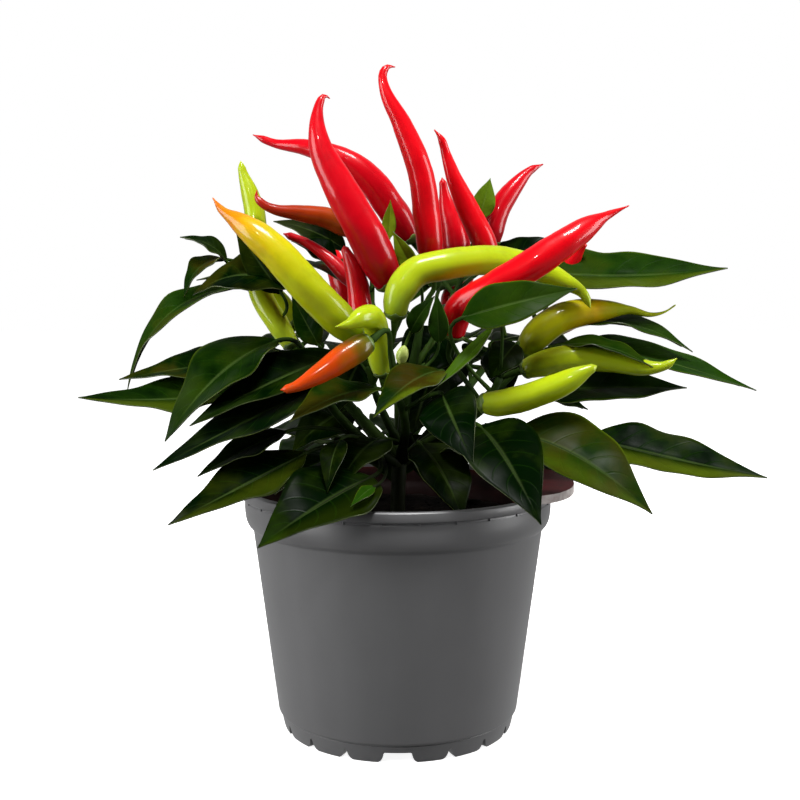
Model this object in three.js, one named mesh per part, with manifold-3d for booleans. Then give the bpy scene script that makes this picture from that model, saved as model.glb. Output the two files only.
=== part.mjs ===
// Potted chilli pepper plant: a bushy plant with upright fruits in a nursery pot.
// Millimetres, +Z up. The feet stand on z = 0, and the front is towards -Y. All pieces are drawn
// round the pot's axis, and the whole is then moved so that the origin is the middle of its outline.
import * as THREE from 'three';
import Module from 'manifold-3d';
import { mergeVertices } from 'three/addons/utils/BufferGeometryUtils.js';

const wasm = await Module();
wasm.setup();

// Driving dimensions of the outer pot
const LIP_RADIUS = 65;
const POT_HEIGHT = 101.6;
const COLLAR_RADIUS = 63.5;
const COLLAR_FOOT_Z = 85;
const BODY_TOP_RADIUS = 60.2;
const BODY_FOOT_RADIUS = 50.3;
const BODY_FOOT_Z = 8;
const FOOT_RADIUS = 47.6;
const FOOT_RING_WIDTH = 3.2;
const POT_WALL = 1.6;
const POT_FLOOR_Z = 6;
const POT_SIDES = 36;

// Gaps between the rounded feet
const NOTCH_HEIGHT = 4.6;
const WIDE_NOTCH = 11;
const NARROW_NOTCH = 1.4;
const NOTCH_FLARE = 3.4;
const NARROW_NOTCH_ANGLES = [25, 45, 65];

// Inner pot and its soil
const GAP = 0.3;
const INNER_WALL = 1.2;
const INNER_FLOOR_Z = POT_FLOOR_Z + POT_WALL + GAP;
const INNER_FOOT_RADIUS = 46.4;
const INNER_NECK_RADIUS = 57;
const INNER_RIM_RADIUS = 60.6;
const INNER_RIM_Z = 99.6;
const SOIL_Z = 87;
const SOIL_MOUND = 3;
const DRAIN_RADIUS = 3.5;
const INNER_SIDES = 28;

// Lug of the inner pot's rim that reaches over the outer lip on the right and turns down
const LUG_TOP_Z = POT_HEIGHT + 1.6;
const LUG_CENTRE = 48;
const LUG_REACH = 25;
const LUG_SPREAD = 40;
const LUG_SKIRT = 3.4;
const LUG_SIDES = 20;

// Plant
const STEM_RADIUS = 3;
const STEM_FOOT_Z = 62;
const BLADE = 0.8;
const SLIVER = 0.06;
const LEAF_FOLD = 0.2;
const PETIOLE_RADIUS = 1;
const PEDICEL_RADIUS = 1.1;
const NIB_RADIUS = 1.7;
const LEAST_RADIUS = 0.36;

function v(x, y, z) {
  return new THREE.Vector3(x, y, z);
}

// Turns a closed geometry into a solid
function solid(geometry) {
  const bare = geometry.index ? geometry.toNonIndexed() : geometry.clone();
  bare.deleteAttribute('normal');
  bare.deleteAttribute('uv');
  const merged = mergeVertices(bare, 1e-4);
  return new wasm.Manifold(new wasm.Mesh({
    numProp: 3,
    vertProperties: new Float32Array(merged.attributes.position.array),
    triVerts: new Uint32Array(merged.index.array),
  }));
}

function namedMesh(name, body, material) {
  const data = body.getMesh();
  const geometry = new THREE.BufferGeometry();
  geometry.setAttribute('position', new THREE.BufferAttribute(data.vertProperties, 3));
  geometry.setIndex(new THREE.BufferAttribute(data.triVerts, 1));
  geometry.computeVertexNormals();
  const mesh = new THREE.Mesh(geometry, material);
  mesh.name = name;
  return mesh;
}

// A closed profile of [radius, height] points turned about Z
function revolve(profile, sides) {
  const points = profile.map(([radius, z]) => new THREE.Vector2(radius, z));
  const geometry = new THREE.LatheGeometry(points, sides);
  geometry.rotateX(Math.PI / 2);
  return solid(geometry);
}

// Joins rings of points into a closed skin. Sides in otherDiagonal are split the other way.
function loft(rings, otherDiagonal = []) {
  const count = rings[0].length;
  const positions = rings.flat().flatMap((p) => [p.x, p.y, p.z]);
  const faces = [];
  for (let i = 0; i < rings.length - 1; i += 1) {
    for (let k = 0; k < count; k += 1) {
      const a = i * count + k;
      const b = i * count + ((k + 1) % count);
      const c = b + count;
      const d = a + count;
      if (otherDiagonal.includes(k)) faces.push(a, b, d, b, c, d);
      else faces.push(a, b, c, a, c, d);
    }
  }
  const last = (rings.length - 1) * count;
  for (let k = 1; k < count - 1; k += 1) {
    faces.push(0, k + 1, k);
    faces.push(last, last + k, last + k + 1);
  }
  const geometry = new THREE.BufferGeometry();
  geometry.setAttribute('position', new THREE.Float32BufferAttribute(positions, 3));
  geometry.setIndex(faces);
  return solid(geometry);
}

// A round rod along a smooth curve, with [share of the length, radius] rings
function rod(points, rings, sides) {
  const curve = new THREE.CatmullRomCurve3(points, false, 'centripetal');
  const steps = 40;
  const frames = curve.computeFrenetFrames(steps, false);
  return loft(rings.map(([share, radius]) => {
    const centre = curve.getPointAt(share);
    const frame = Math.round(share * steps);
    return Array.from({ length: sides }, (_, k) => {
      const angle = (2 * Math.PI * k) / sides;
      return centre.clone()
        .addScaledVector(frames.normals[frame], radius * Math.cos(angle))
        .addScaledVector(frames.binormals[frame], radius * Math.sin(angle));
    });
  }), []);
}

// Outer pot: foot ring, tapered body, rounded collar and lip
const LIP_Z = POT_HEIGHT - 3.6;

function potShell() {
  const footInner = FOOT_RADIUS - FOOT_RING_WIDTH;
  return revolve([
    [0, POT_FLOOR_Z],
    [footInner - 0.6, POT_FLOOR_Z],
    [footInner, 0],
    [FOOT_RADIUS, 0],
    [BODY_FOOT_RADIUS - 1, BODY_FOOT_Z - 1],
    [BODY_FOOT_RADIUS, BODY_FOOT_Z],
    [BODY_TOP_RADIUS, COLLAR_FOOT_Z],
    [BODY_TOP_RADIUS + 1.6, COLLAR_FOOT_Z + 1],
    [COLLAR_RADIUS - 0.5, COLLAR_FOOT_Z + 3.6],
    [COLLAR_RADIUS, COLLAR_FOOT_Z + 7],
    [COLLAR_RADIUS, LIP_Z - 0.6],
    [LIP_RADIUS, LIP_Z],
    [LIP_RADIUS, POT_HEIGHT - 0.6],
    [LIP_RADIUS - 0.6, POT_HEIGHT],
    [COLLAR_RADIUS - POT_WALL + 0.4, POT_HEIGHT],
    [COLLAR_RADIUS - POT_WALL, POT_HEIGHT - 0.6],
    [COLLAR_RADIUS - POT_WALL, COLLAR_FOOT_Z + 6],
    [BODY_TOP_RADIUS - POT_WALL, COLLAR_FOOT_Z - 1],
    [BODY_FOOT_RADIUS - POT_WALL, BODY_FOOT_Z + 1.4],
    [BODY_FOOT_RADIUS - POT_WALL - 1.4, POT_FLOOR_Z + POT_WALL],
    [0, POT_FLOOR_Z + POT_WALL],
  ], POT_SIDES);
}

function notch(topWidth, turn) {
  const half = topWidth / 2;
  const foot = half + NOTCH_FLARE;
  const shape = new THREE.Shape();
  shape.moveTo(-foot, -2);
  shape.lineTo(-foot, 0);
  shape.quadraticCurveTo(-half - 0.6, 0.2, -half, NOTCH_HEIGHT);
  shape.lineTo(half, NOTCH_HEIGHT);
  shape.quadraticCurveTo(half + 0.6, 0.2, foot, 0);
  shape.lineTo(foot, -2);
  const geometry = new THREE.ExtrudeGeometry(shape, { depth: 12, bevelEnabled: false, curveSegments: 2 });
  geometry.rotateX(Math.PI / 2);
  geometry.translate(0, -FOOT_RADIUS + 8, 0);
  geometry.rotateZ(THREE.MathUtils.degToRad(turn));
  return solid(geometry);
}

function drainHoles(ringRadius, count, z) {
  return Array.from({ length: count }, (_, i) => {
    const angle = (2 * Math.PI * (i + 0.5)) / count;
    const hole = new THREE.CylinderGeometry(DRAIN_RADIUS, DRAIN_RADIUS, 12, 8);
    hole.rotateX(Math.PI / 2);
    hole.translate(ringRadius * Math.cos(angle), ringRadius * Math.sin(angle), z);
    return solid(hole);
  });
}

function pot() {
  let body = potShell();
  for (let quarter = 0; quarter < 4; quarter += 1) {
    body = body.subtract(notch(WIDE_NOTCH, quarter * 90));
    for (const angle of NARROW_NOTCH_ANGLES) {
      body = body.subtract(notch(NARROW_NOTCH, quarter * 90 + angle));
    }
  }
  for (const hole of drainHoles(30, 4, POT_FLOOR_Z)) body = body.subtract(hole);
  return body;
}

// Plain drum at the height of the rims
function drum(radius, sides) {
  const foot = INNER_RIM_Z - 2;
  const top = LUG_TOP_Z + 2;
  return revolve([[0, foot], [radius, foot], [radius, top], [0, top]], sides);
}

// Upright column with the lug's oval outline, drawn in by inset
function lugColumn(inset, fromZ, toZ) {
  const column = new THREE.CylinderGeometry(1, 1, toZ - fromZ, LUG_SIDES);
  column.rotateX(Math.PI / 2);
  column.scale(LUG_REACH - inset, LUG_SPREAD - inset, 1);
  column.translate(LUG_CENTRE, 0, (fromZ + toZ) / 2);
  return solid(column);
}

function lug() {
  const inside = drum(INNER_RIM_RADIUS - INNER_WALL, INNER_SIDES);
  const wall = lugColumn(0, INNER_RIM_Z - 1, LUG_TOP_Z).intersect(drum(INNER_RIM_RADIUS, INNER_SIDES));
  const plate = lugColumn(0, LUG_TOP_Z - INNER_WALL, LUG_TOP_Z);
  const skirt = lugColumn(0, LUG_TOP_Z - LUG_SKIRT, LUG_TOP_Z)
    .subtract(lugColumn(INNER_WALL, INNER_RIM_Z - 2, LUG_TOP_Z + 1))
    .subtract(drum(LIP_RADIUS + 2 * GAP, POT_SIDES));
  return wall.add(plate).add(skirt).subtract(inside);
}

// Thin inner pot that stands on the outer pot's floor
function innerPot() {
  let body = revolve([
    [0, INNER_FLOOR_Z],
    [INNER_FOOT_RADIUS - 0.8, INNER_FLOOR_Z],
    [INNER_FOOT_RADIUS, INNER_FLOOR_Z + 0.8],
    [INNER_NECK_RADIUS, 84],
    [INNER_NECK_RADIUS + 1.2, 90],
    [INNER_RIM_RADIUS, 92],
    [INNER_RIM_RADIUS, INNER_RIM_Z - 0.4],
    [INNER_RIM_RADIUS - 0.4, INNER_RIM_Z],
    [INNER_RIM_RADIUS - INNER_WALL, INNER_RIM_Z],
    [INNER_RIM_RADIUS - INNER_WALL, 92.4],
    [INNER_NECK_RADIUS + 0.1, 90],
    [INNER_NECK_RADIUS - INNER_WALL, 84],
    [INNER_FOOT_RADIUS - INNER_WALL, INNER_FLOOR_Z + INNER_WALL + 0.8],
    [INNER_FOOT_RADIUS - INNER_WALL - 0.8, INNER_FLOOR_Z + INNER_WALL],
    [0, INNER_FLOOR_Z + INNER_WALL],
  ], INNER_SIDES);
  for (const hole of drainHoles(34, 4, INNER_FLOOR_Z)) body = body.subtract(hole);
  return body.add(lug());
}

// Peat with a lumpy top and a plain hole for the stem
function soil() {
  const foot = INNER_FOOT_RADIUS - INNER_WALL - GAP;
  const floor = INNER_FLOOR_Z + INNER_WALL + GAP;
  const points = [
    [0, floor],
    [foot - 1, floor],
    [foot, floor + 1.4],
    [INNER_NECK_RADIUS - INNER_WALL - GAP, 84],
    [INNER_NECK_RADIUS - INNER_WALL - GAP, SOIL_Z],
    [44, SOIL_Z + 0.4 * SOIL_MOUND],
    [28, SOIL_Z + 0.7 * SOIL_MOUND],
    [13, SOIL_Z + SOIL_MOUND],
    [0, SOIL_Z + SOIL_MOUND],
  ].map(([radius, z]) => new THREE.Vector2(radius, z));
  const geometry = new THREE.LatheGeometry(points, INNER_SIDES);
  geometry.rotateX(Math.PI / 2);
  const position = geometry.attributes.position;
  for (let i = 0; i < position.count; i += 1) {
    const radius = Math.hypot(position.getX(i), position.getY(i));
    const turn = Math.atan2(position.getY(i), position.getX(i));
    const onTop = position.getZ(i) > SOIL_Z + 0.1 && radius > 1;
    const lump = Math.sin(5 * turn + radius) + 0.7 * Math.sin(11 * turn - radius);
    if (onTop) position.setZ(i, position.getZ(i) + 0.7 * lump);
  }
  const hole = new THREE.CylinderGeometry(STEM_RADIUS + GAP, STEM_RADIUS + GAP, 60, 12);
  hole.rotateX(Math.PI / 2);
  hole.translate(0, 0, STEM_FOOT_Z - GAP + 30);
  return solid(geometry).subtract(solid(hole));
}

// Forks of the stem: the points each passes, then its radius at the start and at the end
const FORKS = [
  [[[0, 0, STEM_FOOT_Z], [0, 0, 94], [1, 0, 118]], STEM_RADIUS, STEM_RADIUS],
  [[[1, 0, 112], [-16, -2, 130], [-34, 2, 150], [-50, 8, 170]], 2.4, 1.5],
  [[[0, -1, 110], [-14, -14, 122], [-26, -24, 136], [-32, -26, 148]], 2.2, 1.4],
  [[[1, -1, 112], [3, -16, 126], [1, -28, 138], [-3, -36, 146]], 2.2, 1.3],
  [[[2, -1, 112], [18, -14, 124], [34, -24, 136], [40, -26, 148]], 2.4, 1.4],
  [[[2, 0, 112], [26, -3, 130], [46, 1, 146], [60, 6, 164]], 2.4, 1.5],
  [[[1, 1, 114], [4, 1, 140], [8, 0, 160], [10, 2, 174]], 2.4, 1.5],
  [[[5, 2, 146], [16, 10, 164], [24, 18, 180]], 1.8, 1.3],
  [[[4, 1, 140], [-6, 8, 158], [-12, 16, 180]], 1.8, 1.3],
  [[[1, 1, 112], [0, 22, 136], [-4, 40, 158]], 2.4, 1.4],
  [[[0, 1, 110], [-22, 22, 132], [-44, 38, 156]], 2.2, 1.4],
  [[[2, 1, 110], [26, 24, 134], [48, 38, 160]], 2.2, 1.4],
  [[[0, -9, 120], [-8, -15, 138], [-12, -17, 152]], 1.8, 1.2],
];

// Leaves that show from the front: base, tip, width, arch of the midrib, and the way the top looks
const FRONT_LEAVES = [
  [[-72, 12, 194], [-91, 10, 204], 12, 3, [0, -0.4, 1]],
  [[-73, 14, 195], [-89, 6, 179], 15, 5, [-0.5, -0.5, 0.8]],
  [[-70, 16, 183], [-117, 22, 139], 20, 11.5, [-0.67, -0.5, 0.74]],
  [[-64, 4, 152], [-116, 2, 145], 23, 1, [0, -0.42, 1]],
  [[-62, -7, 141], [-129, -14, 139], 28, -2.5, [0, -0.42, 1]],
  [[-48, -15, 162], [-90, -36, 124], 36, 6, [-0.5, -0.6, 1]],
  [[-22, -20, 157], [-79, -44, 131], 27, 2, [-0.1, -0.5, 1]],
  [[-27, -27, 146], [-92, -50, 115], 27, 1, [-0.1, -0.45, 1]],
  [[-44, -30, 127], [-76, -46, 112], 18, 1, [-0.2, -0.4, 1]],
  [[-36, -34, 119], [-84, -64, 97], 27, 0, [-0.1, -0.5, 1]],
  [[-10, -42, 111], [-49, -84, 93], 34, 2, [-0.2, -0.8, 1]],
  [[-22, -40, 125], [-26, -58, 108], 10, 3, [-0.3, -1, 0.6]],
  [[-9, -58, 110], [-17, -70, 105], 5, 1, [0.2, -0.8, 1]],
  [[-8, -30, 144], [-40, -56, 134], 24, 3, [0, -0.25, 1]],
  [[17, -31, 151], [-9, -60, 136], 20, 4, [-0.1, -0.5, 1]],
  [[37, -34, 169], [8, -52, 142], 7, -2, [-0.6, -0.6, 0.6]],
  [[17, -44, 143], [27, -72, 121], 22, 4, [-0.35, -0.9, 0.6]],
  [[47, -20, 161], [36, -26, 147], 14, 2, [0.2, -0.8, 1]],
  [[20, 10, 165], [2, 4, 142], 24, 2, [0, -0.8, 0.7]],
  [[24, 6, 156], [14, -2, 136], 18, 2, [0.2, -0.9, 0.7]],
  [[-19, 12, 132], [-44, 2, 115], 28, 3, [-0.2, -0.7, 1]],
  [[31, -44, 131], [49.5, -88, 102], 30, 5, [-0.1, -0.8, 1]],
  [[44, -36, 127], [93, -64, 101], 36, 7, [0.2, -0.8, 1]],
  [[76, -24, 124], [142, -40, 110.5], 29, -1, [0.1, -0.6, 1]],
  [[58, 6, 190], [135, -2, 191], 33, -3, [0, -0.62, 1]],
  [[73, 6, 167], [120, -8, 157], 20, 6, [0, -0.3, 1]],
  [[75, 2, 160], [144, -16, 142], 24, 2, [0.1, -0.4, 1]],
  [[66, -13, 160], [102, -24, 151], 16, 4, [0.1, -0.3, 1]],
  [[58, 0, 140], [119, -4, 142], 32, 1, [0, -0.5, 1]],
  [[58, 14, 137], [80, 6, 132], 14, 1, [0, -0.3, 1]],
  [[42, 36, 193], [76, 42, 202], 22, 2, [0, -0.6, 1]],
  [[35, 24, 212], [40, 30, 230], 10, 1, [0, -1, 0.3]],
  [[24.5, -42, 172], [67, -46, 183], 19, 1, [-0.1, -1, 0.55]],
  [[16, -30, 162], [15, -32, 181], 8, 1, [0, -1, 0.2]],
  [[5, -30, 166], [14, -36, 180], 9, 1, [-0.6, -1, 0.3]],
  [[-32, -10, 160], [-43, -8, 180], 11, 1, [-0.3, -1, 0.4]],
  [[-23, 34, 199], [-55, 40, 212], 16, 3, [-0.2, -0.6, 1]],
  [[-27, 26, 193], [-46, 28, 203], 14, 3, [-0.2, -0.6, 1]],
  [[7, -4, 190], [-2, -3, 206], 8, 1, [-0.6, -1, 0.4]],
  [[-4, 6, 203], [-3, 4, 219], 6, 0, [0, -1, 0.2]],
  [[-44, -6, 183], [-84, -2, 180], 25, 8, [0, -0.7, 1]],
  [[-47, -10, 181], [-66, -6, 208], 14, 1, [-0.5, -1, 0.3]],
  [[-14, 0, 156], [-24, -6, 133], 20, 2, [-0.2, -0.9, 0.6]],
  [[14, 8, 146], [6, 0, 122], 24, 2, [0, -0.9, 0.6]],
  [[40, 8, 158], [46, 2, 137], 18, 2, [0.2, -0.9, 0.6]],
];

// Rows of leaves round the sides and back: count, first angle and step in degrees,
// radius and height of the base, radius and height of the tip, width and arch
const LEAF_ROWS = [
  { count: 5, from: 34, step: 27, base: [52, 117], tip: [112, 95], width: 31, arch: 7 },
  { count: 7, from: 30, step: 20, base: [50, 154], tip: [118, 144], width: 30, arch: 7 },
  { count: 5, from: 32, step: 29, base: [42, 180], tip: [98, 192], width: 26, arch: 5 },
  { count: 6, from: 46, step: 22, base: [18, 115], tip: [47, 97], width: 30, arch: 2 },
  { count: 4, from: 207, step: 42, base: [22, 120], tip: [51, 102], width: 26, arch: 3 },
];

// Uneven but repeatable values from -1 to 1, so that no two leaves of a row are alike
function unevenness(index, kind) {
  return Math.sin(2.4 * index + 1.7 * kind + 0.5);
}

function rowLeaves() {
  return LEAF_ROWS.flatMap((row, r) => Array.from({ length: row.count }, (_, i) => {
    const seed = 10 * r + i;
    const turn = THREE.MathUtils.degToRad(row.from + row.step * i + 5 * unevenness(seed, 1));
    const lean = 0.35 + 0.15 * unevenness(seed, 2);
    const reach = row.tip[0] * (1 + 0.08 * unevenness(seed, 3));
    const sway = turn + 0.12 * unevenness(seed, 4);
    return [
      [row.base[0] * Math.cos(turn), row.base[0] * Math.sin(turn), row.base[1] + 5 * unevenness(seed, 5)],
      [reach * Math.cos(sway), reach * Math.sin(sway), row.tip[1] + 8 * unevenness(seed, 6)],
      row.width * (1 + 0.1 * unevenness(seed, 7)),
      row.arch,
      [lean * Math.cos(turn), lean * Math.sin(turn), 1],
    ];
  }));
}

// Points along every fork, where leaf and fruit stalks can start. Each start counts its stalks,
// so that stalks spread along the forks.
const stalkStarts = FORKS.slice(1).flatMap(([points]) => {
  const curve = new THREE.CatmullRomCurve3(points.map((p) => v(...p)), false, 'centripetal');
  return curve.getSpacedPoints(9).slice(2).map((point) => ({ point, stalks: 0 }));
});

function nearestStart(target) {
  const cost = ({ point, stalks }) => point.distanceTo(target)
    + 2 * Math.max(0, point.z + 6 - target.z) + 5 * stalks;
  const best = stalkStarts.reduce((found, start) => (cost(start) < cost(found) ? start : found));
  best.stalks += 1;
  return best.point.clone();
}

// Pointed leaf outline: [share of the length, share of the half width]
const LEAF_OUTLINE = [[0.2, 0.78], [0.42, 1], [0.72, 0.58], [1, 0.03]];

// Six points round a section: middle, right edge and left edge, on the upper and the lower face
function section(centre, side, top, half, thick, rightLift, leftLift) {
  const place = (across, lift) => centre.clone().addScaledVector(side, across).addScaledVector(top, lift);
  return [
    place(0, thick),
    place(half, rightLift + 0.5 * thick),
    place(half, rightLift - 0.5 * thick),
    place(0, -thick),
    place(-half, leftLift - 0.5 * thick),
    place(-half, leftLift + 0.5 * thick),
  ];
}

// A leaf with its stalk, as one skin from the fork to the tip of the blade
function leaf([baseAt, tipAt, width, arch, faceTo]) {
  const base = v(...baseAt);
  const tip = v(...tipAt);
  const face = v(...faceTo).normalize();
  const chord = tip.clone().sub(base).normalize();
  const up = face.clone().addScaledVector(chord, -face.dot(chord)).normalize();
  const middle = base.clone().lerp(tip, 0.42).addScaledVector(up, 2 * arch);
  const midrib = new THREE.QuadraticBezierCurve3(base, middle, tip);
  const start = nearestStart(base);
  const bend = base.clone().addScaledVector(midrib.getTangent(0), -0.4 * start.distanceTo(base));
  const stalk = new THREE.QuadraticBezierCurve3(start, bend, base);
  const across = midrib.getTangent(0).cross(up).normalize();
  const rings = [0, 0.5, 1].map((share) => {
    const along = stalk.getTangent(share);
    const side = across.clone().addScaledVector(along, -across.dot(along)).normalize();
    const top = side.clone().cross(along).normalize();
    return section(stalk.getPoint(share), side, top, PETIOLE_RADIUS, PETIOLE_RADIUS, 0, 0);
  });
  LEAF_OUTLINE.forEach(([share, breadth], i) => {
    const along = midrib.getTangent(share);
    const side = along.clone().cross(up).normalize();
    const top = side.clone().cross(along).normalize();
    const half = 0.5 * width * breadth;
    const wave = (i % 2 ? 0.05 : -0.03) * width * breadth;
    const lift = LEAF_FOLD * half;
    rings.push(section(midrib.getPoint(share), side, top, half, BLADE / 2, lift + wave, lift - wave));
  });
  return loft(rings, [2, 3]);
}

// Fruits: greatest radius, how late the fruit starts to taper (a low fullness is a cone, a high one
// a finger), the share of the length that is its thin nib, and the points of the centre line from
// the stalk to the tip
const RED = 'red';
const LIME = 'lime';
const FRUITS = [
  { place: 'tall', colour: RED, radius: 5.4, fullness: 3.2, nib: 0.06,
    points: [[14, 2, 192], [12, 0, 211], [9, -2, 230], [2, -2, 248], [-5, -2, 262], [-6, -1, 269],
      [-4, 0, 272], [-1, 1, 272]] },
  { place: 'broad', colour: RED, radius: 7.5, fullness: 3.2, nib: 0.06,
    points: [[-3, -9, 184], [-13, -13, 205], [-22, -14, 221], [-30, -14, 237], [-32, -13, 247],
      [-31, -11, 256], [-29, -10, 259], [-27, -9, 258]] },
  { place: 'left_back', colour: RED, radius: 6.4, fullness: 2.4, nib: 0.06,
    points: [[6, 28, 204], [-3, 26, 217], [-11, 24, 228], [-23, 24, 237], [-40, 28, 243],
      [-53, 32, 245],
      [-63, 34, 249]] },
  { place: 'right_upright', colour: RED, radius: 5.1, fullness: 2.2, nib: 0.1,
    points: [[39, 10, 196], [34, 10, 206], [28, 10, 218], [23, 9, 229], [20, 9, 238], [18, 8, 244],
      [15, 8, 248]] },
  { place: 'right_behind', colour: RED, radius: 6.3, fullness: 1.8, nib: 0.06,
    points: [[26, 27, 196], [24, 27, 207], [21, 27, 218], [19, 26, 230]] },
  { place: 'right_short', colour: RED, radius: 4.5, fullness: 3.8, nib: 0.12,
    points: [[41, 32, 202], [42, 32, 210], [46, 34, 220], [52, 36, 228], [58, 38, 234],
      [64, 40, 237]] },
  { place: 'right_long', colour: RED, radius: 5.9, fullness: 8, nib: 0.1,
    points: [[22, -18, 164], [24, -22, 174], [30, -27, 179], [40, -31, 185],
      [53, -33, 193], [65, -32, 201],
      [74, -29, 207], [81, -26, 211], [90, -24, 215]] },
  { place: 'right_low', colour: RED, radius: 5.1, fullness: 1.6, nib: 0.03,
    points: [[68, 14, 185], [72, 13, 192], [78, 9, 202]] },
  { place: 'small_left', colour: RED, radius: 4.4, fullness: 4.8, nib: 0.03,
    points: [[-15, -9, 163], [-15, -8, 173], [-17, -7, 188], [-22, -6, 200]] },
  { place: 'left_behind', colour: RED, radius: 3.4, fullness: 1.2, nib: 0.08,
    points: [[-19, 14, 185], [-29, 16, 195], [-39, 19, 202], [-49, 22, 206]] },
  { place: 'back_left', colour: RED, radius: 5.6, fullness: 2.4, nib: 0.06,
    points: [[-22, 52, 174], [-28, 58, 192], [-36, 66, 211]] },
  { place: 'back_right', colour: RED, radius: 6, fullness: 2.4, nib: 0.06,
    points: [[24, 54, 172], [31, 62, 190], [40, 70, 206]] },
  { place: 'hooked', colour: 'brown', radius: 4.6, fullness: 1.8, nib: 0.1,
    points: [[-19, 17, 207], [-29, 14, 212], [-41, 9, 214], [-50, 5, 215],
      [-55, 4, 217], [-58, 4, 220],
      [-58, 4, 223]] },
  { place: 'long_left', colour: 'amber', radius: 6.6, fullness: 6, nib: 0.08,
    points: [[-16, -23, 164], [-23, -27, 171], [-36, -31, 185], [-47, -31, 197], [-55, -30, 204],
      [-62, -28, 209], [-68, -26, 213], [-72, -24, 218]] },
  { place: 'left_front', colour: 'orange', radius: 4.9, fullness: 2.6, nib: 0.06,
    points: [[-11, -46, 163], [-16, -49, 160], [-24, -53, 155], [-32, -56, 150], [-38, -57, 147],
      [-43, -58, 146]] },
  { place: 'left_steep', colour: LIME, radius: 4.5, fullness: 8, nib: 0.03,
    points: [[-44, 2, 159], [-49, 3, 167], [-57, 6, 180], [-59, 9, 197], [-60, 13, 214], [-62, 14, 222],
      [-65, 15, 231], [-66, 15, 236]] },
  { place: 'arched', colour: LIME, radius: 5.8, fullness: 5.6, nib: 0.03,
    points: [[-1, -25, 172], [0, -26, 180], [7, -24, 189], [18, -21, 192], [38, -14, 194],
      [55, -11, 191],
      [66, -12, 186], [74, -14, 181], [77, -15, 175]] },
  { place: 'curled', colour: LIME, radius: 4.5, fullness: 8, nib: 0.08,
    points: [[-6, -25, 149], [-7, -26, 157], [-8, -31, 166], [-10, -41, 172], [-14, -49, 172],
      [-18, -53, 170], [-23, -55, 169]] },
  { place: 'right', colour: 'olive', radius: 6.1, fullness: 4, nib: 0.28,
    points: [[52, -4, 157], [57, -7, 164], [67, -6, 171], [84, -2, 174], [95, -1, 174],
      [104, 0, 172], [110, 1, 173], [115, 2, 176]] },
  { place: 'right_flat', colour: LIME, radius: 5, fullness: 4.4, nib: 0.06,
    points: [[51, -12, 150], [56, -14, 152], [69, -16, 155], [86, -18, 154],
      [98.5, -21, 151.5], [105.5, -23, 152.5], [110, -24, 155.5]] },
  { place: 'right_front', colour: LIME, radius: 4.9, fullness: 6.6, nib: 0.03,
    points: [[32, -36, 139], [39, -37, 139], [50, -40, 142], [62, -43, 147],
      [71, -45, 152], [75, -45, 154]] },
  { place: 'back', colour: LIME, radius: 5.2, fullness: 2.6, nib: 0.05,
    points: [[-46, 44, 166], [-58, 52, 180], [-74, 58, 188]] },
  { place: 'back', colour: 'orange', radius: 5.2, fullness: 2.6, nib: 0.05,
    points: [[66, 44, 164], [80, 50, 169], [96, 56, 172.5]] },
];

// Swells from the shoulder, narrows towards the tip and ends in a thin nib
function fruitRadius(share, { radius, fullness, nib }) {
  const shoulder = 0.7 + 0.3 * Math.sin((Math.min(share / 0.16, 1) * Math.PI) / 2);
  const body = radius * (1 - Math.min(share / (1 - nib), 1) ** fullness);
  const point = NIB_RADIUS * Math.min((1 - share) / nib, 1);
  return shoulder * Math.max(Math.hypot(body, point), LEAST_RADIUS);
}

const FRUIT_SHARES = [0, 0.16, 0.34, 0.52, 0.68, 0.82, 0.93, 1];

function fruitSolid(fruit, extra = 0) {
  const rings = FRUIT_SHARES.map((share) => [share, fruitRadius(share, fruit) + extra]);
  return rod(fruit.points.map((p) => v(...p)), rings, 7);
}

// Stalk that widens into the calyx, which meets the flat end of the fruit
function fruitStalk(fruit) {
  const curve = new THREE.CatmullRomCurve3(fruit.points.map((p) => v(...p)), false, 'centripetal');
  const away = curve.getTangentAt(0).negate();
  const seat = curve.getPointAt(0).addScaledVector(away, GAP);
  const neck = seat.clone().addScaledVector(away, 9);
  const start = nearestStart(neck);
  const middle = start.clone().lerp(neck, 0.6);
  const path = [start, middle, neck, seat];
  const length = new THREE.CatmullRomCurve3(path, false, 'centripetal').getLength();
  const shoulder = fruitRadius(0, fruit);
  return rod(path, [
    [0, PEDICEL_RADIUS],
    [1 - 7 / length, PEDICEL_RADIUS],
    [1 - 2.6 / length, 1.5],
    [1 - 1.2 / length, shoulder],
    [1, shoulder * 1.04],
  ], 5);
}

// Bud on its own short stalk among the front leaves
const BUD = { foot: [1, -32, 154], tip: [2.6, -34, 161], radius: 2.4 };

function budSolid(extra = 0) {
  const { foot, tip, radius } = BUD;
  const shares = [[0, 0.5], [0.25, 0.95], [0.55, 1], [0.85, 0.6], [1, 0.2]];
  return rod([v(...foot), v(...tip)], shares.map(([share, k]) => [share, k * radius + extra]), 8);
}

function budStalk() {
  const seat = v(...BUD.foot);
  seat.z -= GAP;
  const start = nearestStart(seat);
  const middle = start.clone().lerp(seat, 0.6);
  return rod([start, middle, seat], [[0, 0.9], [0.8, 0.8], [1, 1.3]], 5);
}

// The plant is one grown piece, so all its green parts are fused
function leafyPlant() {
  const leaves = [...FRONT_LEAVES, ...rowLeaves()];
  const forks = FORKS.map(([points, start, end]) => rod(
    points.map((p) => v(...p)),
    [0, 0.35, 0.7, 1].map((share) => [share, start + (end - start) * share]),
    6));
  let body = wasm.Manifold.union([
    ...forks,
    ...leaves.map(leaf),
    ...FRUITS.map(fruitStalk),
    budStalk(),
  ]);
  for (const fruit of FRUITS) body = body.subtract(fruitSolid(fruit, GAP));
  body = body.subtract(budSolid(GAP));
  const pieces = body.asOriginal().simplify(SLIVER).decompose();
  return pieces.reduce((best, piece) => (piece.volume() > best.volume() ? piece : best));
}

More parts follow.
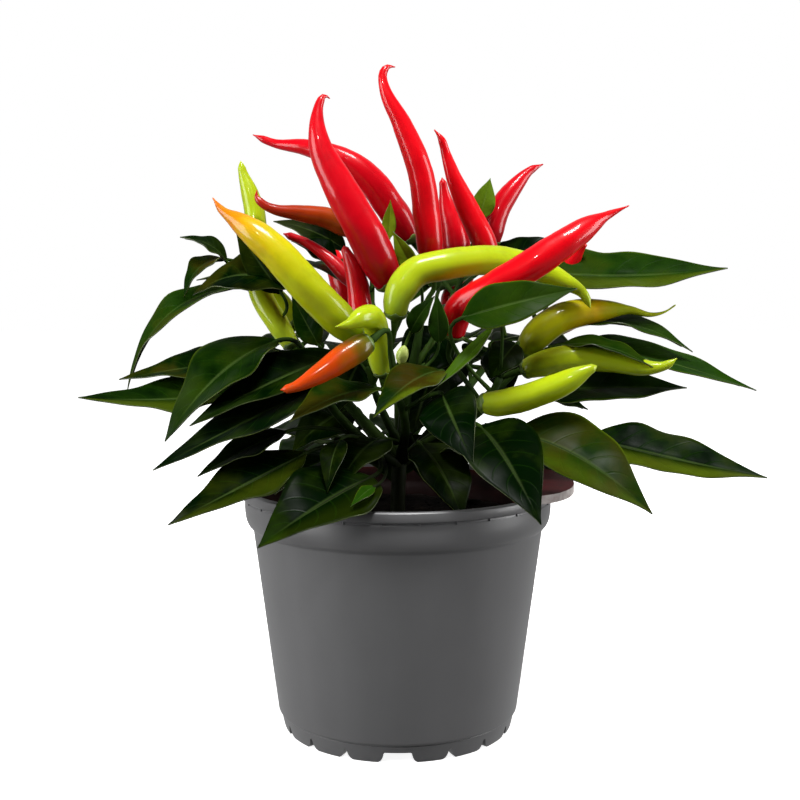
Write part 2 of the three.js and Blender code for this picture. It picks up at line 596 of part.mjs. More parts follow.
function finish(color, roughness, metalness = 0) {
  return new THREE.MeshStandardMaterial({ color, roughness, metalness });
}

const finishes = {
  pot: finish(0x5c5c5d, 0.5),
  grow_pot: finish(0x55211c, 0.55),
  soil: finish(0x1c140f, 0.95),
  leaf: finish(0x1f3d12, 0.4),
  red: finish(0xd8100c, 0.2),
  lime: finish(0xa3bf16, 0.22),
  amber: finish(0xc8a814, 0.22),
  orange: finish(0xd84a0e, 0.22),
  olive: finish(0x8f8a12, 0.25),
  brown: finish(0x9a3a14, 0.22),
  bud: finish(0xa9b858, 0.5),
};

const plant = new THREE.Group();
plant.add(namedMesh('pot', pot(), finishes.pot));
plant.add(namedMesh('grow_pot', innerPot(), finishes.grow_pot));
plant.add(namedMesh('soil', soil(), finishes.soil));
plant.add(namedMesh('leafy_plant', leafyPlant(), finishes.leaf));
for (const fruit of FRUITS) {
  const { place, colour } = fruit;
  plant.add(namedMesh(`chilli_${colour}_${place}`, fruitSolid(fruit), finishes[colour]));
}
plant.add(namedMesh('flower_bud', budSolid(), finishes.bud));

// Moves the middle of the outline to the origin, level with the feet
const middle = new THREE.Box3().setFromObject(plant).getCenter(v(0, 0, 0));
for (const mesh of plant.children) mesh.geometry.translate(-middle.x, -middle.y, 0);

export default plant;
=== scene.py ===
import math
import random

import bpy
import numpy as np
from mathutils import Matrix, Vector, noise


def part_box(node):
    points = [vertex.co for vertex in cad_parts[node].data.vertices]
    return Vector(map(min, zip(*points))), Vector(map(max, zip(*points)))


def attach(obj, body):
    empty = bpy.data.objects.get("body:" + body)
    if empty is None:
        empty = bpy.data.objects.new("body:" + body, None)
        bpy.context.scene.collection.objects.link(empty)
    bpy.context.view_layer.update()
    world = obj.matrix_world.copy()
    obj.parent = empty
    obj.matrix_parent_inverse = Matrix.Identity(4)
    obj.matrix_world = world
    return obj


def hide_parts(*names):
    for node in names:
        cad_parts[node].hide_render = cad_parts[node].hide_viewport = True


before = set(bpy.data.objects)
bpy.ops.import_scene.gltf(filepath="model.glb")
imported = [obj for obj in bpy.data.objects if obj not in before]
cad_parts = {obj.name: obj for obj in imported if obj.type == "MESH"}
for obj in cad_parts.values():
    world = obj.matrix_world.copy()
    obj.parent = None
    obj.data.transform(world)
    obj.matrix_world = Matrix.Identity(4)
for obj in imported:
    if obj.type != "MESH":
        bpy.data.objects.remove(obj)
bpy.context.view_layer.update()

# everything is drawn in millimetres round the pot's axis and brought into the frame at the end
mm = 0.001
potLow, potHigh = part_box("pot")
axis = Vector(((potLow.x + potHigh.x) / 2, (potLow.y + potHigh.y) / 2, 0))
random.seed(7)


def place(x, y, z):
    return axis + Vector((x, y, z)) * mm


def toScene(points):
    return np.asarray(points) * mm + np.array(axis)


def ringPoint(radius, turn, height):
    return radius * math.cos(turn), radius * math.sin(turn), height


def leaveEdit():
    bpy.ops.object.mode_set(mode="OBJECT")


def editAll():
    bpy.ops.object.mode_set(mode="EDIT")
    bpy.ops.mesh.select_all(action="SELECT")


def clearSelection():
    if bpy.context.mode != "OBJECT":
        leaveEdit()
    bpy.ops.object.select_all(action="DESELECT")


def pick(*objects):
    clearSelection()
    for item in objects:
        item.select_set(True)
    bpy.context.view_layer.objects.active = objects[0]


def settle(piece, name):
    # leaves the object at the origin with its place in the mesh
    pick(piece)
    bpy.ops.object.transform_apply(location=True, rotation=True, scale=True)
    piece.name = name
    piece.data.name = name
    return piece


def linked(name, mesh):
    made = bpy.data.objects.new(name, mesh)
    bpy.context.collection.objects.link(made)
    return made


def joinAll(objects, name):
    pick(*objects)
    if len(objects) > 1:
        bpy.ops.object.join()
    return settle(bpy.context.object, name)


def applyModifier(piece, kind, name, **values):
    pick(piece)
    modifier = piece.modifiers.new(name, kind)
    for key, value in values.items():
        setattr(modifier, key, value)
    bpy.ops.object.modifier_apply(modifier=modifier.name)


def combine(piece, tool, operation):
    applyModifier(piece, "BOOLEAN", "combine", operation=operation, object=tool, solver="EXACT")
    bpy.data.objects.remove(tool)


def recalcNormals(piece):
    pick(piece)
    editAll()
    bpy.ops.mesh.remove_doubles(threshold=0.002 * mm)
    bpy.ops.mesh.normals_make_consistent(inside=False)
    leaveEdit()


def smoothShade(piece, angle=None):
    pick(piece)
    if angle is None:
        bpy.ops.object.shade_smooth()
    else:
        bpy.ops.object.shade_smooth_by_angle(angle=math.radians(angle))


def raisedRings(rings, sides, centre, scale):
    # a circle is extruded and resized to each next [radius, height]; the last ring stays selected
    clearSelection()
    radius, height = rings[0]
    bpy.ops.mesh.primitive_circle_add(vertices=sides, radius=radius * scale,
                                      location=centre + Vector((0, 0, height)) * scale)
    piece = bpy.context.object
    editAll()
    for (radius, height), (nextRadius, nextHeight) in zip(rings, rings[1:]):
        rise = (0, 0, (nextHeight - height) * scale)
        bpy.ops.mesh.extrude_region_move(TRANSFORM_OT_translate={"value": rise})
        grow = nextRadius / radius
        bpy.ops.transform.resize(value=(grow, grow, 1),
                                 center_override=centre + Vector((0, 0, nextHeight)) * scale)
    return piece


def turned(name, rings, sides):
    # closed at both ends
    piece = raisedRings(rings, sides, axis, mm)
    bpy.ops.mesh.edge_face_add()
    leaveEdit()
    for vertex in piece.data.vertices:
        vertex.select = vertex.index < sides
    for edge in piece.data.edges:
        edge.select = all(v < sides for v in edge.vertices)
    for face in piece.data.polygons:
        face.select = False
    bpy.ops.object.mode_set(mode="EDIT")
    bpy.ops.mesh.edge_face_add()
    leaveEdit()
    settle(piece, name)
    recalcNormals(piece)
    return piece


def drawTubes(name, lines, halfRound):
    # every line is (points, radii) in millimetres; all become round tubes of one mesh
    clearSelection()
    bpy.ops.curve.primitive_bezier_curve_add(location=(0, 0, 0))
    tubes = bpy.context.object
    curve = tubes.data
    curve.splines.clear()
    curve.dimensions = "3D"
    for points, radii in lines:
        spline = curve.splines.new("POLY")
        spline.points.add(len(points) - 1)
        spots = np.column_stack([toScene(points), np.ones(len(points))])
        spline.points.foreach_set("co", spots.ravel())
        spline.points.foreach_set("radius", np.asarray(radii, float))
    curve.bevel_depth = mm
    curve.bevel_resolution = halfRound
    curve.use_fill_caps = True
    bpy.ops.object.convert(target="MESH")
    tubes = bpy.context.object
    settle(tubes, name)
    recalcNormals(tubes)
    smoothShade(tubes)
    return tubes


def unit(vector):
    return vector / np.linalg.norm(vector, axis=-1, keepdims=True)


class SmoothLine:
    # an even curve through the points, measured by its length
    def __init__(self, points):
        self.points = np.asarray(points, float)
        self.shares = np.linspace(0, 1, 201)
        drawn = np.array([self.at(share) for share in self.shares])
        steps = np.linalg.norm(np.diff(drawn, axis=0), axis=1)
        self.lengths = np.concatenate([[0], np.cumsum(steps)])
        self.length = self.lengths[-1]

    def at(self, share):
        last = len(self.points) - 1
        spot = share * last
        i = min(int(spot), last - 1)
        w = spot - i
        p1, p2 = self.points[i], self.points[i + 1]
        p0 = self.points[i - 1] if i > 0 else 2 * p1 - p2
        p3 = self.points[i + 2] if i + 2 <= last else 2 * p2 - p1
        d0, d1, d2 = (max(np.sum((b - a) ** 2) ** 0.25, 1e-4)
                      for a, b in ((p0, p1), (p1, p2), (p2, p3)))
        t1 = ((p1 - p0) / d0 - (p2 - p0) / (d0 + d1) + (p2 - p1) / d1) * d1
        t2 = ((p2 - p1) / d1 - (p3 - p1) / (d1 + d2) + (p3 - p2) / d2) * d1
        return (p1 + t1 * w + (3 * (p2 - p1) - 2 * t1 - t2) * w ** 2
                + (2 * (p1 - p2) + t1 + t2) * w ** 3)

    def even(self, share):
        return self.at(np.interp(share * self.length, self.lengths, self.shares))

    def along(self, shares):
        return np.array([self.even(share) for share in shares])

    def direction(self, share):
        a, b = max(share - 0.005, 0), min(share + 0.005, 1)
        return unit(self.even(b) - self.even(a))


def bend3(a, b, c, shares):
    # a curve that leaves a towards b and reaches c
    t = np.asarray(shares, float)[:, None]
    return (1 - t) ** 2 * a + 2 * t * (1 - t) * b + t ** 2 * c


def bend3Slope(a, b, c, shares):
    t = np.asarray(shares, float)[:, None]
    return unit(2 * (1 - t) * (b - a) + 2 * t * (c - b))


# materials

def newMaterial(name):
    material = bpy.data.materials.new(name)
    material.use_nodes = True
    return material, material.node_tree, material.node_tree.nodes["Principled BSDF"]


def addNode(tree, kind, values=None, **settings):
    made = tree.nodes.new("ShaderNode" + kind)
    for key, value in settings.items():
        setattr(made, key, value)
    for key, value in (values or {}).items():
        if isinstance(value, bpy.types.NodeSocket):
            tree.links.new(value, made.inputs[key])
        else:
            made.inputs[key].default_value = value
    return made


def maths(tree, operation, a, b=0.0, clamp=False):
    return addNode(tree, "Math", {0: a, 1: b}, operation=operation, use_clamp=clamp).outputs[0]


def times(tree, a, b, clamp=False):
    return maths(tree, "MULTIPLY", a, b, clamp)


def plus(tree, a, b, clamp=False):
    return maths(tree, "ADD", a, b, clamp)


def minus(tree, a, b, clamp=False):
    return maths(tree, "SUBTRACT", a, b, clamp)


def ranged(tree, value, fromLow, fromHigh, toLow=0.0, toHigh=1.0, how="LINEAR"):
    made = addNode(tree, "MapRange", {"Value": value, "From Min": fromLow, "From Max": fromHigh,
                                      "To Min": toLow, "To Max": toHigh}, interpolation_type=how)
    return made.outputs[0]


def between(tree, value, low, high, toLow=0.0, toHigh=1.0):
    # eases from one value to the other
    return ranged(tree, value, low, high, toLow, toHigh, "SMOOTHSTEP")


def objectHeight(tree):
    return addNode(tree, "SeparateXYZ", {0: addNode(tree, "TexCoord").outputs["Object"]}).outputs[2]


def blendColour(tree, share, a, b):
    made = addNode(tree, "Mix", data_type="RGBA")
    for socket, value in ((made.inputs[0], share), (made.inputs[6], a), (made.inputs[7], b)):
        if isinstance(value, bpy.types.NodeSocket):
            tree.links.new(value, socket)
        else:
            socket.default_value = value if isinstance(value, float) else (*value[:3], 1)
    return made.outputs[2]


def layered(tree, colour, *layers):
    # a layer is its share and its colour
    for share, layer in layers:
        colour = blendColour(tree, share, colour, layer)
    return colour


def colourSteps(tree, share, steps):
    made = addNode(tree, "ValToRGB", {0: share})
    elements = made.color_ramp.elements
    while len(elements) < len(steps):
        elements.new(0.5)
    for element, (position, colour) in zip(elements, steps):
        element.position = position
        element.color = (*colour, 1)
    return made.outputs[0]


def speckle(tree, scale, detail=3.0, roughness=0.55, stretch=(1, 1, 1)):
    coords = addNode(tree, "TexCoord").outputs["Object"]
    mapped = addNode(tree, "Mapping", {"Vector": coords, "Scale": stretch}).outputs[0]
    made = addNode(tree, "TexNoise", {"Vector": mapped, "Scale": scale, "Detail": detail,
                                      "Roughness": roughness})
    return made.outputs["Fac"]


def addBump(tree, shader, height, strength, distance):
    bump = addNode(tree, "Bump", {"Height": height, "Strength": strength, "Distance": distance})
    tree.links.new(bump.outputs[0], shader.inputs["Normal"])


def fill(shader, **values):
    names = {"colour": "Base Color", "roughness": "Roughness", "coat": "Coat Weight",
             "coatRoughness": "Coat Roughness", "specular": "Specular IOR Level",
             "soft": "Subsurface Weight", "softScale": "Subsurface Scale",
             "glowColour": "Emission Color", "glow": "Emission Strength"}
    for key, value in values.items():
        socket = shader.inputs[names[key]]
        if isinstance(value, bpy.types.NodeSocket):
            shader.id_data.links.new(value, socket)
        else:
            socket.default_value = value


def plainSkin(name, scale, low, high, bump=None, detail=3.0, **values):
    # patches move the colour between two steps
    material, tree, shader = newMaterial(name)
    patches = speckle(tree, scale, detail)
    fill(shader, colour=colourSteps(tree, patches, [low, high]), **values)
    if bump:
        addBump(tree, shader, patches, *bump)
    return material


# camera

cameraSettings = {"place": (0, -497.16, 185.63), "pitch": 84.4, "sensor": 36, "lens": 54.15,
                  "shift": (0.00275, -0.00075)}

clearSelection()
bpy.ops.object.camera_add(location=place(*cameraSettings["place"]),
                          rotation=(math.radians(cameraSettings["pitch"]), 0, 0))
camera = bpy.context.object
camera.name = "photo_camera"
camera.data.sensor_width = cameraSettings["sensor"]
camera.data.lens = cameraSettings["lens"]
camera.data.shift_x, camera.data.shift_y = cameraSettings["shift"]
bpy.context.scene.camera = camera
print("camera set")


# outer pot

potSettings = {
    "sides": 144,
    "rings": [
        [8, 6], [43.2, 6], [43.9, 5.8], [44.3, 5.2], [44.4, 4.4], [44.4, 0.5], [44.7, 0.1],
        [45.2, 0], [46.9, 0], [47.5, 0.25], [47.9, 0.9], [48.2, 2], [49.2, 6.6], [49.3, 7.1],
        [49.15, 7.3], [49.25, 7.5], [49.9, 7.7], [50.25, 8.1], [50.4, 8.9], [53, 29], [56.8, 58.5],
        [60.1, 84.2], [60.25, 84.9], [60.7, 85.4], [61.5, 85.9], [62.2, 86.8], [62.75, 88],
        [63.15, 89.6], [63.4, 91.4], [63.5, 93], [63.5, 96.3], [63.3, 96.6], [63.28, 97.1],
        [63.5, 97.4], [64.4, 97.6], [64.85, 97.9], [65, 98.4], [65, 100.5], [64.88, 101.1],
        [64.5, 101.5], [64, 101.6], [62.7, 101.6], [62.2, 101.45], [61.95, 101.1], [61.9, 100.4],
        [61.9, 91.4], [61.4, 89.8], [58.8, 84.6], [58.5, 83.4], [48.75, 9.8], [48.4, 8.6],
        [47.6, 7.85], [46.6, 7.6], [8, 7.6],
    ],
    # gaps between the feet: the cutter starts inside the wall and goes out through it
    "notchHeight": 4.6, "wideNotch": 11, "narrowNotch": 1.4, "flare": 3.4, "narrowAt": (25, 45, 65),
    "cutterFrom": 41, "cutterDepth": 12,
    "holes": 4, "holeRadius": 3.5, "holesAt": 30, "floorMiddle": 6,
    # small moulded ribs in the groove under the lip
    "ribs": 28, "ribStart": -5.6, "ribSize": (0.55, 0.9, 1.3), "ribRadius": 63.35, "ribHeight": 96.9,
    "ribBevel": 0.15, "smoothAngle": 32,
}


def notchCutter(width, turn):
    # the gap between two rounded feet, wider at the floor, drawn flat and pushed through the wall
    half, top = width / 2, potSettings["notchHeight"]
    foot = half + potSettings["flare"]
    side = [((1 - t) ** 2 * foot + 2 * t * (1 - t) * (half + 0.6) + t ** 2 * half,
             2 * t * (1 - t) * 0.2 + t ** 2 * (top - 0.6)) for t in np.linspace(0, 1, 9)]
    side += [(half - 0.12, top - 0.25), (half - 0.45, top)]
    outline = [(foot, -2)] + side + [(-x, z) for x, z in reversed(side)] + [(-foot, -2)]
    clearSelection()
    bpy.ops.mesh.primitive_circle_add(vertices=len(outline), fill_type="NGON")
    cutter = bpy.context.object
    inner, depth = potSettings["cutterFrom"], potSettings["cutterDepth"]
    for vertex, (x, z) in zip(cutter.data.vertices, outline):
        vertex.co = (x * mm, -inner * mm, z * mm)
    editAll()
    bpy.ops.mesh.extrude_region_move(TRANSFORM_OT_translate={"value": (0, -depth * mm, 0)})
    leaveEdit()
    cutter.data.transform(Matrix.Translation(axis) @ Matrix.Rotation(math.radians(turn), 4, "Z"))
    return cutter


def holeCutters(settings):
    cutters = []
    for i in range(potSettings["holes"]):
        turn = math.radians(45 + 90 * i)
        spot = place(*ringPoint(settings["holesAt"], turn, settings["floorMiddle"]))
        clearSelection()
        bpy.ops.mesh.primitive_cylinder_add(vertices=32, radius=potSettings["holeRadius"] * mm,
                                            depth=12 * mm, location=spot)
        cutters.append(bpy.context.object)
    return cutters


def cutAway(piece, cutters):
    tool = joinAll(cutters, "cutters")
    recalcNormals(tool)
    combine(piece, tool, "DIFFERENCE")


def makePot():
    pot = turned("nursery_pot", potSettings["rings"], potSettings["sides"])
    cutters = []
    for quarter in range(4):
        cutters.append(notchCutter(potSettings["wideNotch"], quarter * 90))
        for angle in potSettings["narrowAt"]:
            cutters.append(notchCutter(potSettings["narrowNotch"], quarter * 90 + angle))
    cutAway(pot, cutters)
    cutAway(pot, holeCutters(potSettings))
    ribs = []
    size = [side * mm for side in potSettings["ribSize"]]
    spot = Vector((0, -potSettings["ribRadius"], potSettings["ribHeight"])) * mm
    for i in range(potSettings["ribs"]):
        turn = math.radians(potSettings["ribStart"] + 360 / potSettings["ribs"] * i)
        clearSelection()
        bpy.ops.mesh.primitive_cube_add(size=1)
        rib = bpy.context.object
        rib.data.transform(Matrix.Translation(axis) @ Matrix.Rotation(turn, 4, "Z")
                           @ Matrix.Translation(spot) @ Matrix.Diagonal((*size, 1)))
        ribs.append(rib)
    ribs = joinAll(ribs, "ribs")
    applyModifier(ribs, "BEVEL", "soften", width=potSettings["ribBevel"] * mm, segments=2)
    pot = joinAll([pot, ribs], "nursery_pot")
    smoothShade(pot, potSettings["smoothAngle"])
    return pot


def potPlastic():
    material, tree, shader = newMaterial("pot_plastic")
    grain = speckle(tree, 900, 2.0)
    clouds = speckle(tree, 22)
    streaks = speckle(tree, 60, 3.0, 0.6, (1, 1, 0.12))
    tone = plus(tree, times(tree, clouds, 0.6), times(tree, streaks, 0.4))
    colour = colourSteps(tree, tone, [(0.3, (0.090, 0.090, 0.092)), (0.7, (0.108, 0.108, 0.110))])
    fill(shader, colour=colour, roughness=ranged(tree, streaks, 0.0, 1.0, 0.36, 0.46), specular=0.5)
    addBump(tree, shader, plus(tree, times(tree, grain, 0.35), streaks), 0.12, 0.0004)
    return material


nurseryPot = makePot()
nurseryPot.data.materials.append(potPlastic())
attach(nurseryPot, "root")
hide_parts("pot")
print("outer pot done")


# inner pot and soil

innerSettings = {
    "sides": 96,
    "rings": [
        [8, 7.9], [45.4, 7.9], [46, 8.1], [46.4, 8.7], [57, 84], [57.1, 86], [57.6, 89.2],
        [58.4, 90.3], [60, 91.4], [60.5, 92], [60.6, 92.8], [60.6, 99], [60.5, 99.45],
        [60.2, 99.6], [59.8, 99.6], [59.5, 99.45], [59.4, 99], [59.4, 93], [59.2, 92.4],
        [58, 91.2], [57.1, 90], [56, 86], [55.8, 84], [45.2, 9.9], [44.9, 9.4], [44.4, 9.1],
        [8, 9.1],
    ],
    "holesAt": 34, "floorMiddle": 8.5,
    # lug that reaches over the outer lip on the right and turns down
    "lug": {"centre": 48, "reach": 25, "spread": 40, "wall": 1.2, "foot": 99.8, "top": 103.2,
            "rim": 98.6, "inside": 59.4, "outside": 60.6, "overLip": 65.6, "sliver": 0.01,
            "through": (90, 110)},
    # its turned-down edge is worn pale
    "wornPast": 61, "wornAbove": 99.7, "wornSlope": 0.7,
}
soilSettings = {
    "sides": 120,
    "rings": [
        [6, 9.4], [43.9, 9.4], [44.9, 10.8], [55.4, 83.8], [55.45, 85.6], [54.9, 86.8], [52, 87.5],
        [49, 87.8], [46, 88.1], [43, 88.3], [40, 88.5], [37, 88.7], [34, 88.9], [31, 89],
        [28, 89.2], [25, 89.3], [22, 89.5], [19, 89.7], [16, 89.8], [13, 90], [10, 90], [7, 90],
        [4.4, 90], [3.5, 89.6], [3.3, 88.5], [3.3, 61.8], [2, 61.7],
    ],
    # height, fineness and shift of the lumps, the small lumps and the grit
    "lumps": [(1.5, 0.11, 0), (0.9, 0.33, 5), (0.5, 0.9, 0)],
    "lumpyAbove": 84.5, "stemClear": 4.2, "edge": 55, "smoothAngle": 50,
    "crumbs": 420, "crumbSize": (0.5, 1.9), "crumbReach": 54, "crumbLevel": 87.2, "mound": 2.8,
}


def innerPlastic():
    material, tree, shader = newMaterial("grow_pot_plastic")
    patches = speckle(tree, 45)
    dust = between(tree, speckle(tree, 160, 4.0, 0.7), 0.52, 0.72)
    colour = colourSteps(tree, patches, [(0.35, (0.040, 0.004, 0.005)),
                                         (0.7, (0.062, 0.008, 0.008))])
    # painted shade: the inside wall is darkened below the rim, where the plant shades it
    paintedShade = between(tree, objectHeight(tree), 0.096, 0.1025, 1.0, 0.0)
    colour = layered(tree, colour, (times(tree, dust, 0.6), (0.014, 0.008, 0.006)),
                     (times(tree, paintedShade, 0.9), (0.0035, 0.0015, 0.0012)))
    fill(shader, colour=colour, roughness=0.6, specular=0.1)
    addBump(tree, shader, patches, 0.15, 0.0004)
    return material


def ovalColumn(centre, reach, spread, low, high):
    clearSelection()
    bpy.ops.mesh.primitive_cylinder_add(
        vertices=innerSettings["sides"], radius=mm, depth=(high - low) * mm,
        location=place(centre, 0, (low + high) / 2))
    column = bpy.context.object
    column.data.transform(Matrix.Diagonal((reach, spread, 1, 1)))
    return column


def lugColumn(inset, low, high):
    lug = innerSettings["lug"]
    return ovalColumn(lug["centre"], lug["reach"] - inset, lug["spread"] - inset, low, high)


def roundColumn(radius, low, high):
    return ovalColumn(0, radius, radius, low, high)


def makeLug():
    # slivers keep faces that meet from lying in one plane
    lug = innerSettings["lug"]
    top, wall, sliver, through = lug["top"], lug["wall"], lug["sliver"], lug["through"]
    plate = lugColumn(0, top - wall, top)
    skirt = lugColumn(0, lug["foot"], top - sliver)
    combine(skirt, lugColumn(wall, *through), "DIFFERENCE")
    combine(skirt, roundColumn(lug["overLip"], *through), "DIFFERENCE")
    riser = roundColumn(lug["outside"], lug["rim"], top - sliver)
    combine(riser, lugColumn(sliver, *through), "INTERSECT")
    combine(plate, skirt, "UNION")
    combine(plate, riser, "UNION")
    combine(plate, roundColumn(lug["inside"], *through), "DIFFERENCE")
    return plate


def makeInnerPot():
    inner = turned("inner_pot", innerSettings["rings"], innerSettings["sides"])
    cutAway(inner, holeCutters(innerSettings))
    combine(inner, makeLug(), "UNION")
    smoothShade(inner, potSettings["smoothAngle"])
    inner.data.materials.append(innerPlastic())
    inner.data.materials.append(plainSkin(
        "worn_edge", 260, (0.35, (0.30, 0.25, 0.24)), (0.65, (0.46, 0.42, 0.40)), (0.15, 0.0003),
        roughness=0.55, specular=0.3))
    for face in inner.data.polygons:
        x, y, z = (face.center - axis) / mm
        worn = math.hypot(x, y) > innerSettings["wornPast"] and z > innerSettings["wornAbove"]
        if worn and abs(face.normal.z) < innerSettings["wornSlope"]:
            face.material_index = 1
    return inner


def makeSoil():
    soil = turned("peat_soil", soilSettings["rings"], soilSettings["sides"])
    edge = soilSettings["edge"]
    for vertex in soil.data.vertices:
        local = (vertex.co - axis) / mm
        radius = math.hypot(local.x, local.y)
        if local.z > soilSettings["lumpyAbove"] and soilSettings["stemClear"] < radius < edge:
            rise = sum(height * noise.noise(local * fine + Vector((shift, 0, 0)))
                       for height, fine, shift in soilSettings["lumps"])
            vertex.co.z += rise * min(1, (edge - radius) / 3) * mm
    # crumbs of peat lie on top of the lumps
    clearSelection()
    bpy.ops.mesh.primitive_ico_sphere_add(subdivisions=1, radius=1)
    crumb = bpy.context.object
    applyModifier(crumb, "BEVEL", "soften", width=0.2, segments=1)
    crumbs = []
    low, high = soilSettings["crumbSize"]
    for _ in range(soilSettings["crumbs"]):
        radius = soilSettings["crumbReach"] * math.sqrt(random.uniform(0.01, 1))
        turn = random.uniform(0, 2 * math.pi)
        size = low + (high - low) * random.random() ** 2.4
        copy = crumb.data.copy()
        squash = (size, size * random.uniform(0.5, 0.9), size * random.uniform(0.4, 0.8))
        spin = Matrix.Rotation(random.uniform(0, 6.3), 4, "Z")
        tilt = Matrix.Rotation(random.uniform(-0.6, 0.6), 4, "X")
        level = soilSettings["crumbLevel"] + soilSettings["mound"] * (1 - radius / edge)
        spot = place(*ringPoint(radius, turn, level + 0.2 * size))
        copy.transform(Matrix.Translation(spot) @ (spin @ tilt)
                       @ Matrix.Diagonal((*(s * mm for s in squash), 1)))
        crumbs.append(linked("crumb", copy))
    bpy.data.objects.remove(crumb)
    soil = joinAll([soil] + crumbs, "peat_soil")
    smoothShade(soil, soilSettings["smoothAngle"])
    return soil


def peat():
    material, tree, shader = newMaterial("peat")
    grains = speckle(tree, 420, 5.0, 0.7)
    patches = speckle(tree, 70)
    tone = plus(tree, times(tree, grains, 0.6), times(tree, patches, 0.4))
    colour = colourSteps(tree, tone, [
        (0.32, (0.0015, 0.001, 0.0008)), (0.55, (0.0055, 0.0035, 0.0025)),
        (0.78, (0.020, 0.013, 0.009))])
    fill(shader, colour=colour, roughness=0.95, specular=0.08)
    addBump(tree, shader, grains, 0.8, 0.0008)
    return material


innerPot = makeInnerPot()
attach(innerPot, "root")
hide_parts("grow_pot")

peatSoil = makeSoil()
peatSoil.data.materials.append(peat())
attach(peatSoil, "root")
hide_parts("soil")
print("inner pot and soil done")


# stem and its forks: points, radius at the start and at the end

forks = [
    ([(0, 0, 62), (0, 0, 94), (1, 0, 118)], 3, 3),
    ([(1, 0, 112), (-16, -2, 130), (-34, 2, 150), (-50, 8, 170)], 2.4, 1.5),
    ([(0, -1, 110), (-14, -14, 122), (-26, -24, 136), (-32, -26, 148)], 2.2, 1.4),
    ([(1, -1, 112), (3, -16, 126), (1, -28, 138), (-3, -36, 146)], 2.2, 1.3),
    ([(2, -1, 112), (18, -14, 124), (34, -24, 136), (40, -26, 148)], 2.4, 1.4),
    ([(2, 0, 112), (26, -3, 130), (46, 1, 146), (60, 6, 164)], 2.4, 1.5),
    ([(1, 1, 114), (4, 1, 140), (8, 0, 160), (10, 2, 174)], 2.4, 1.5),
    ([(5, 2, 146), (16, 10, 164), (24, 18, 180)], 1.8, 1.3),
    ([(4, 1, 140), (-6, 8, 158), (-12, 16, 180)], 1.8, 1.3),
    ([(1, 1, 112), (0, 22, 136), (-4, 40, 158)], 2.4, 1.4),
    ([(0, 1, 110), (-22, 22, 132), (-44, 38, 156)], 2.2, 1.4),
    ([(2, 1, 110), (26, 24, 134), (48, 38, 160)], 2.2, 1.4),
    ([(0, -9, 120), (-8, -15, 138), (-12, -17, 152)], 1.8, 1.2),
]

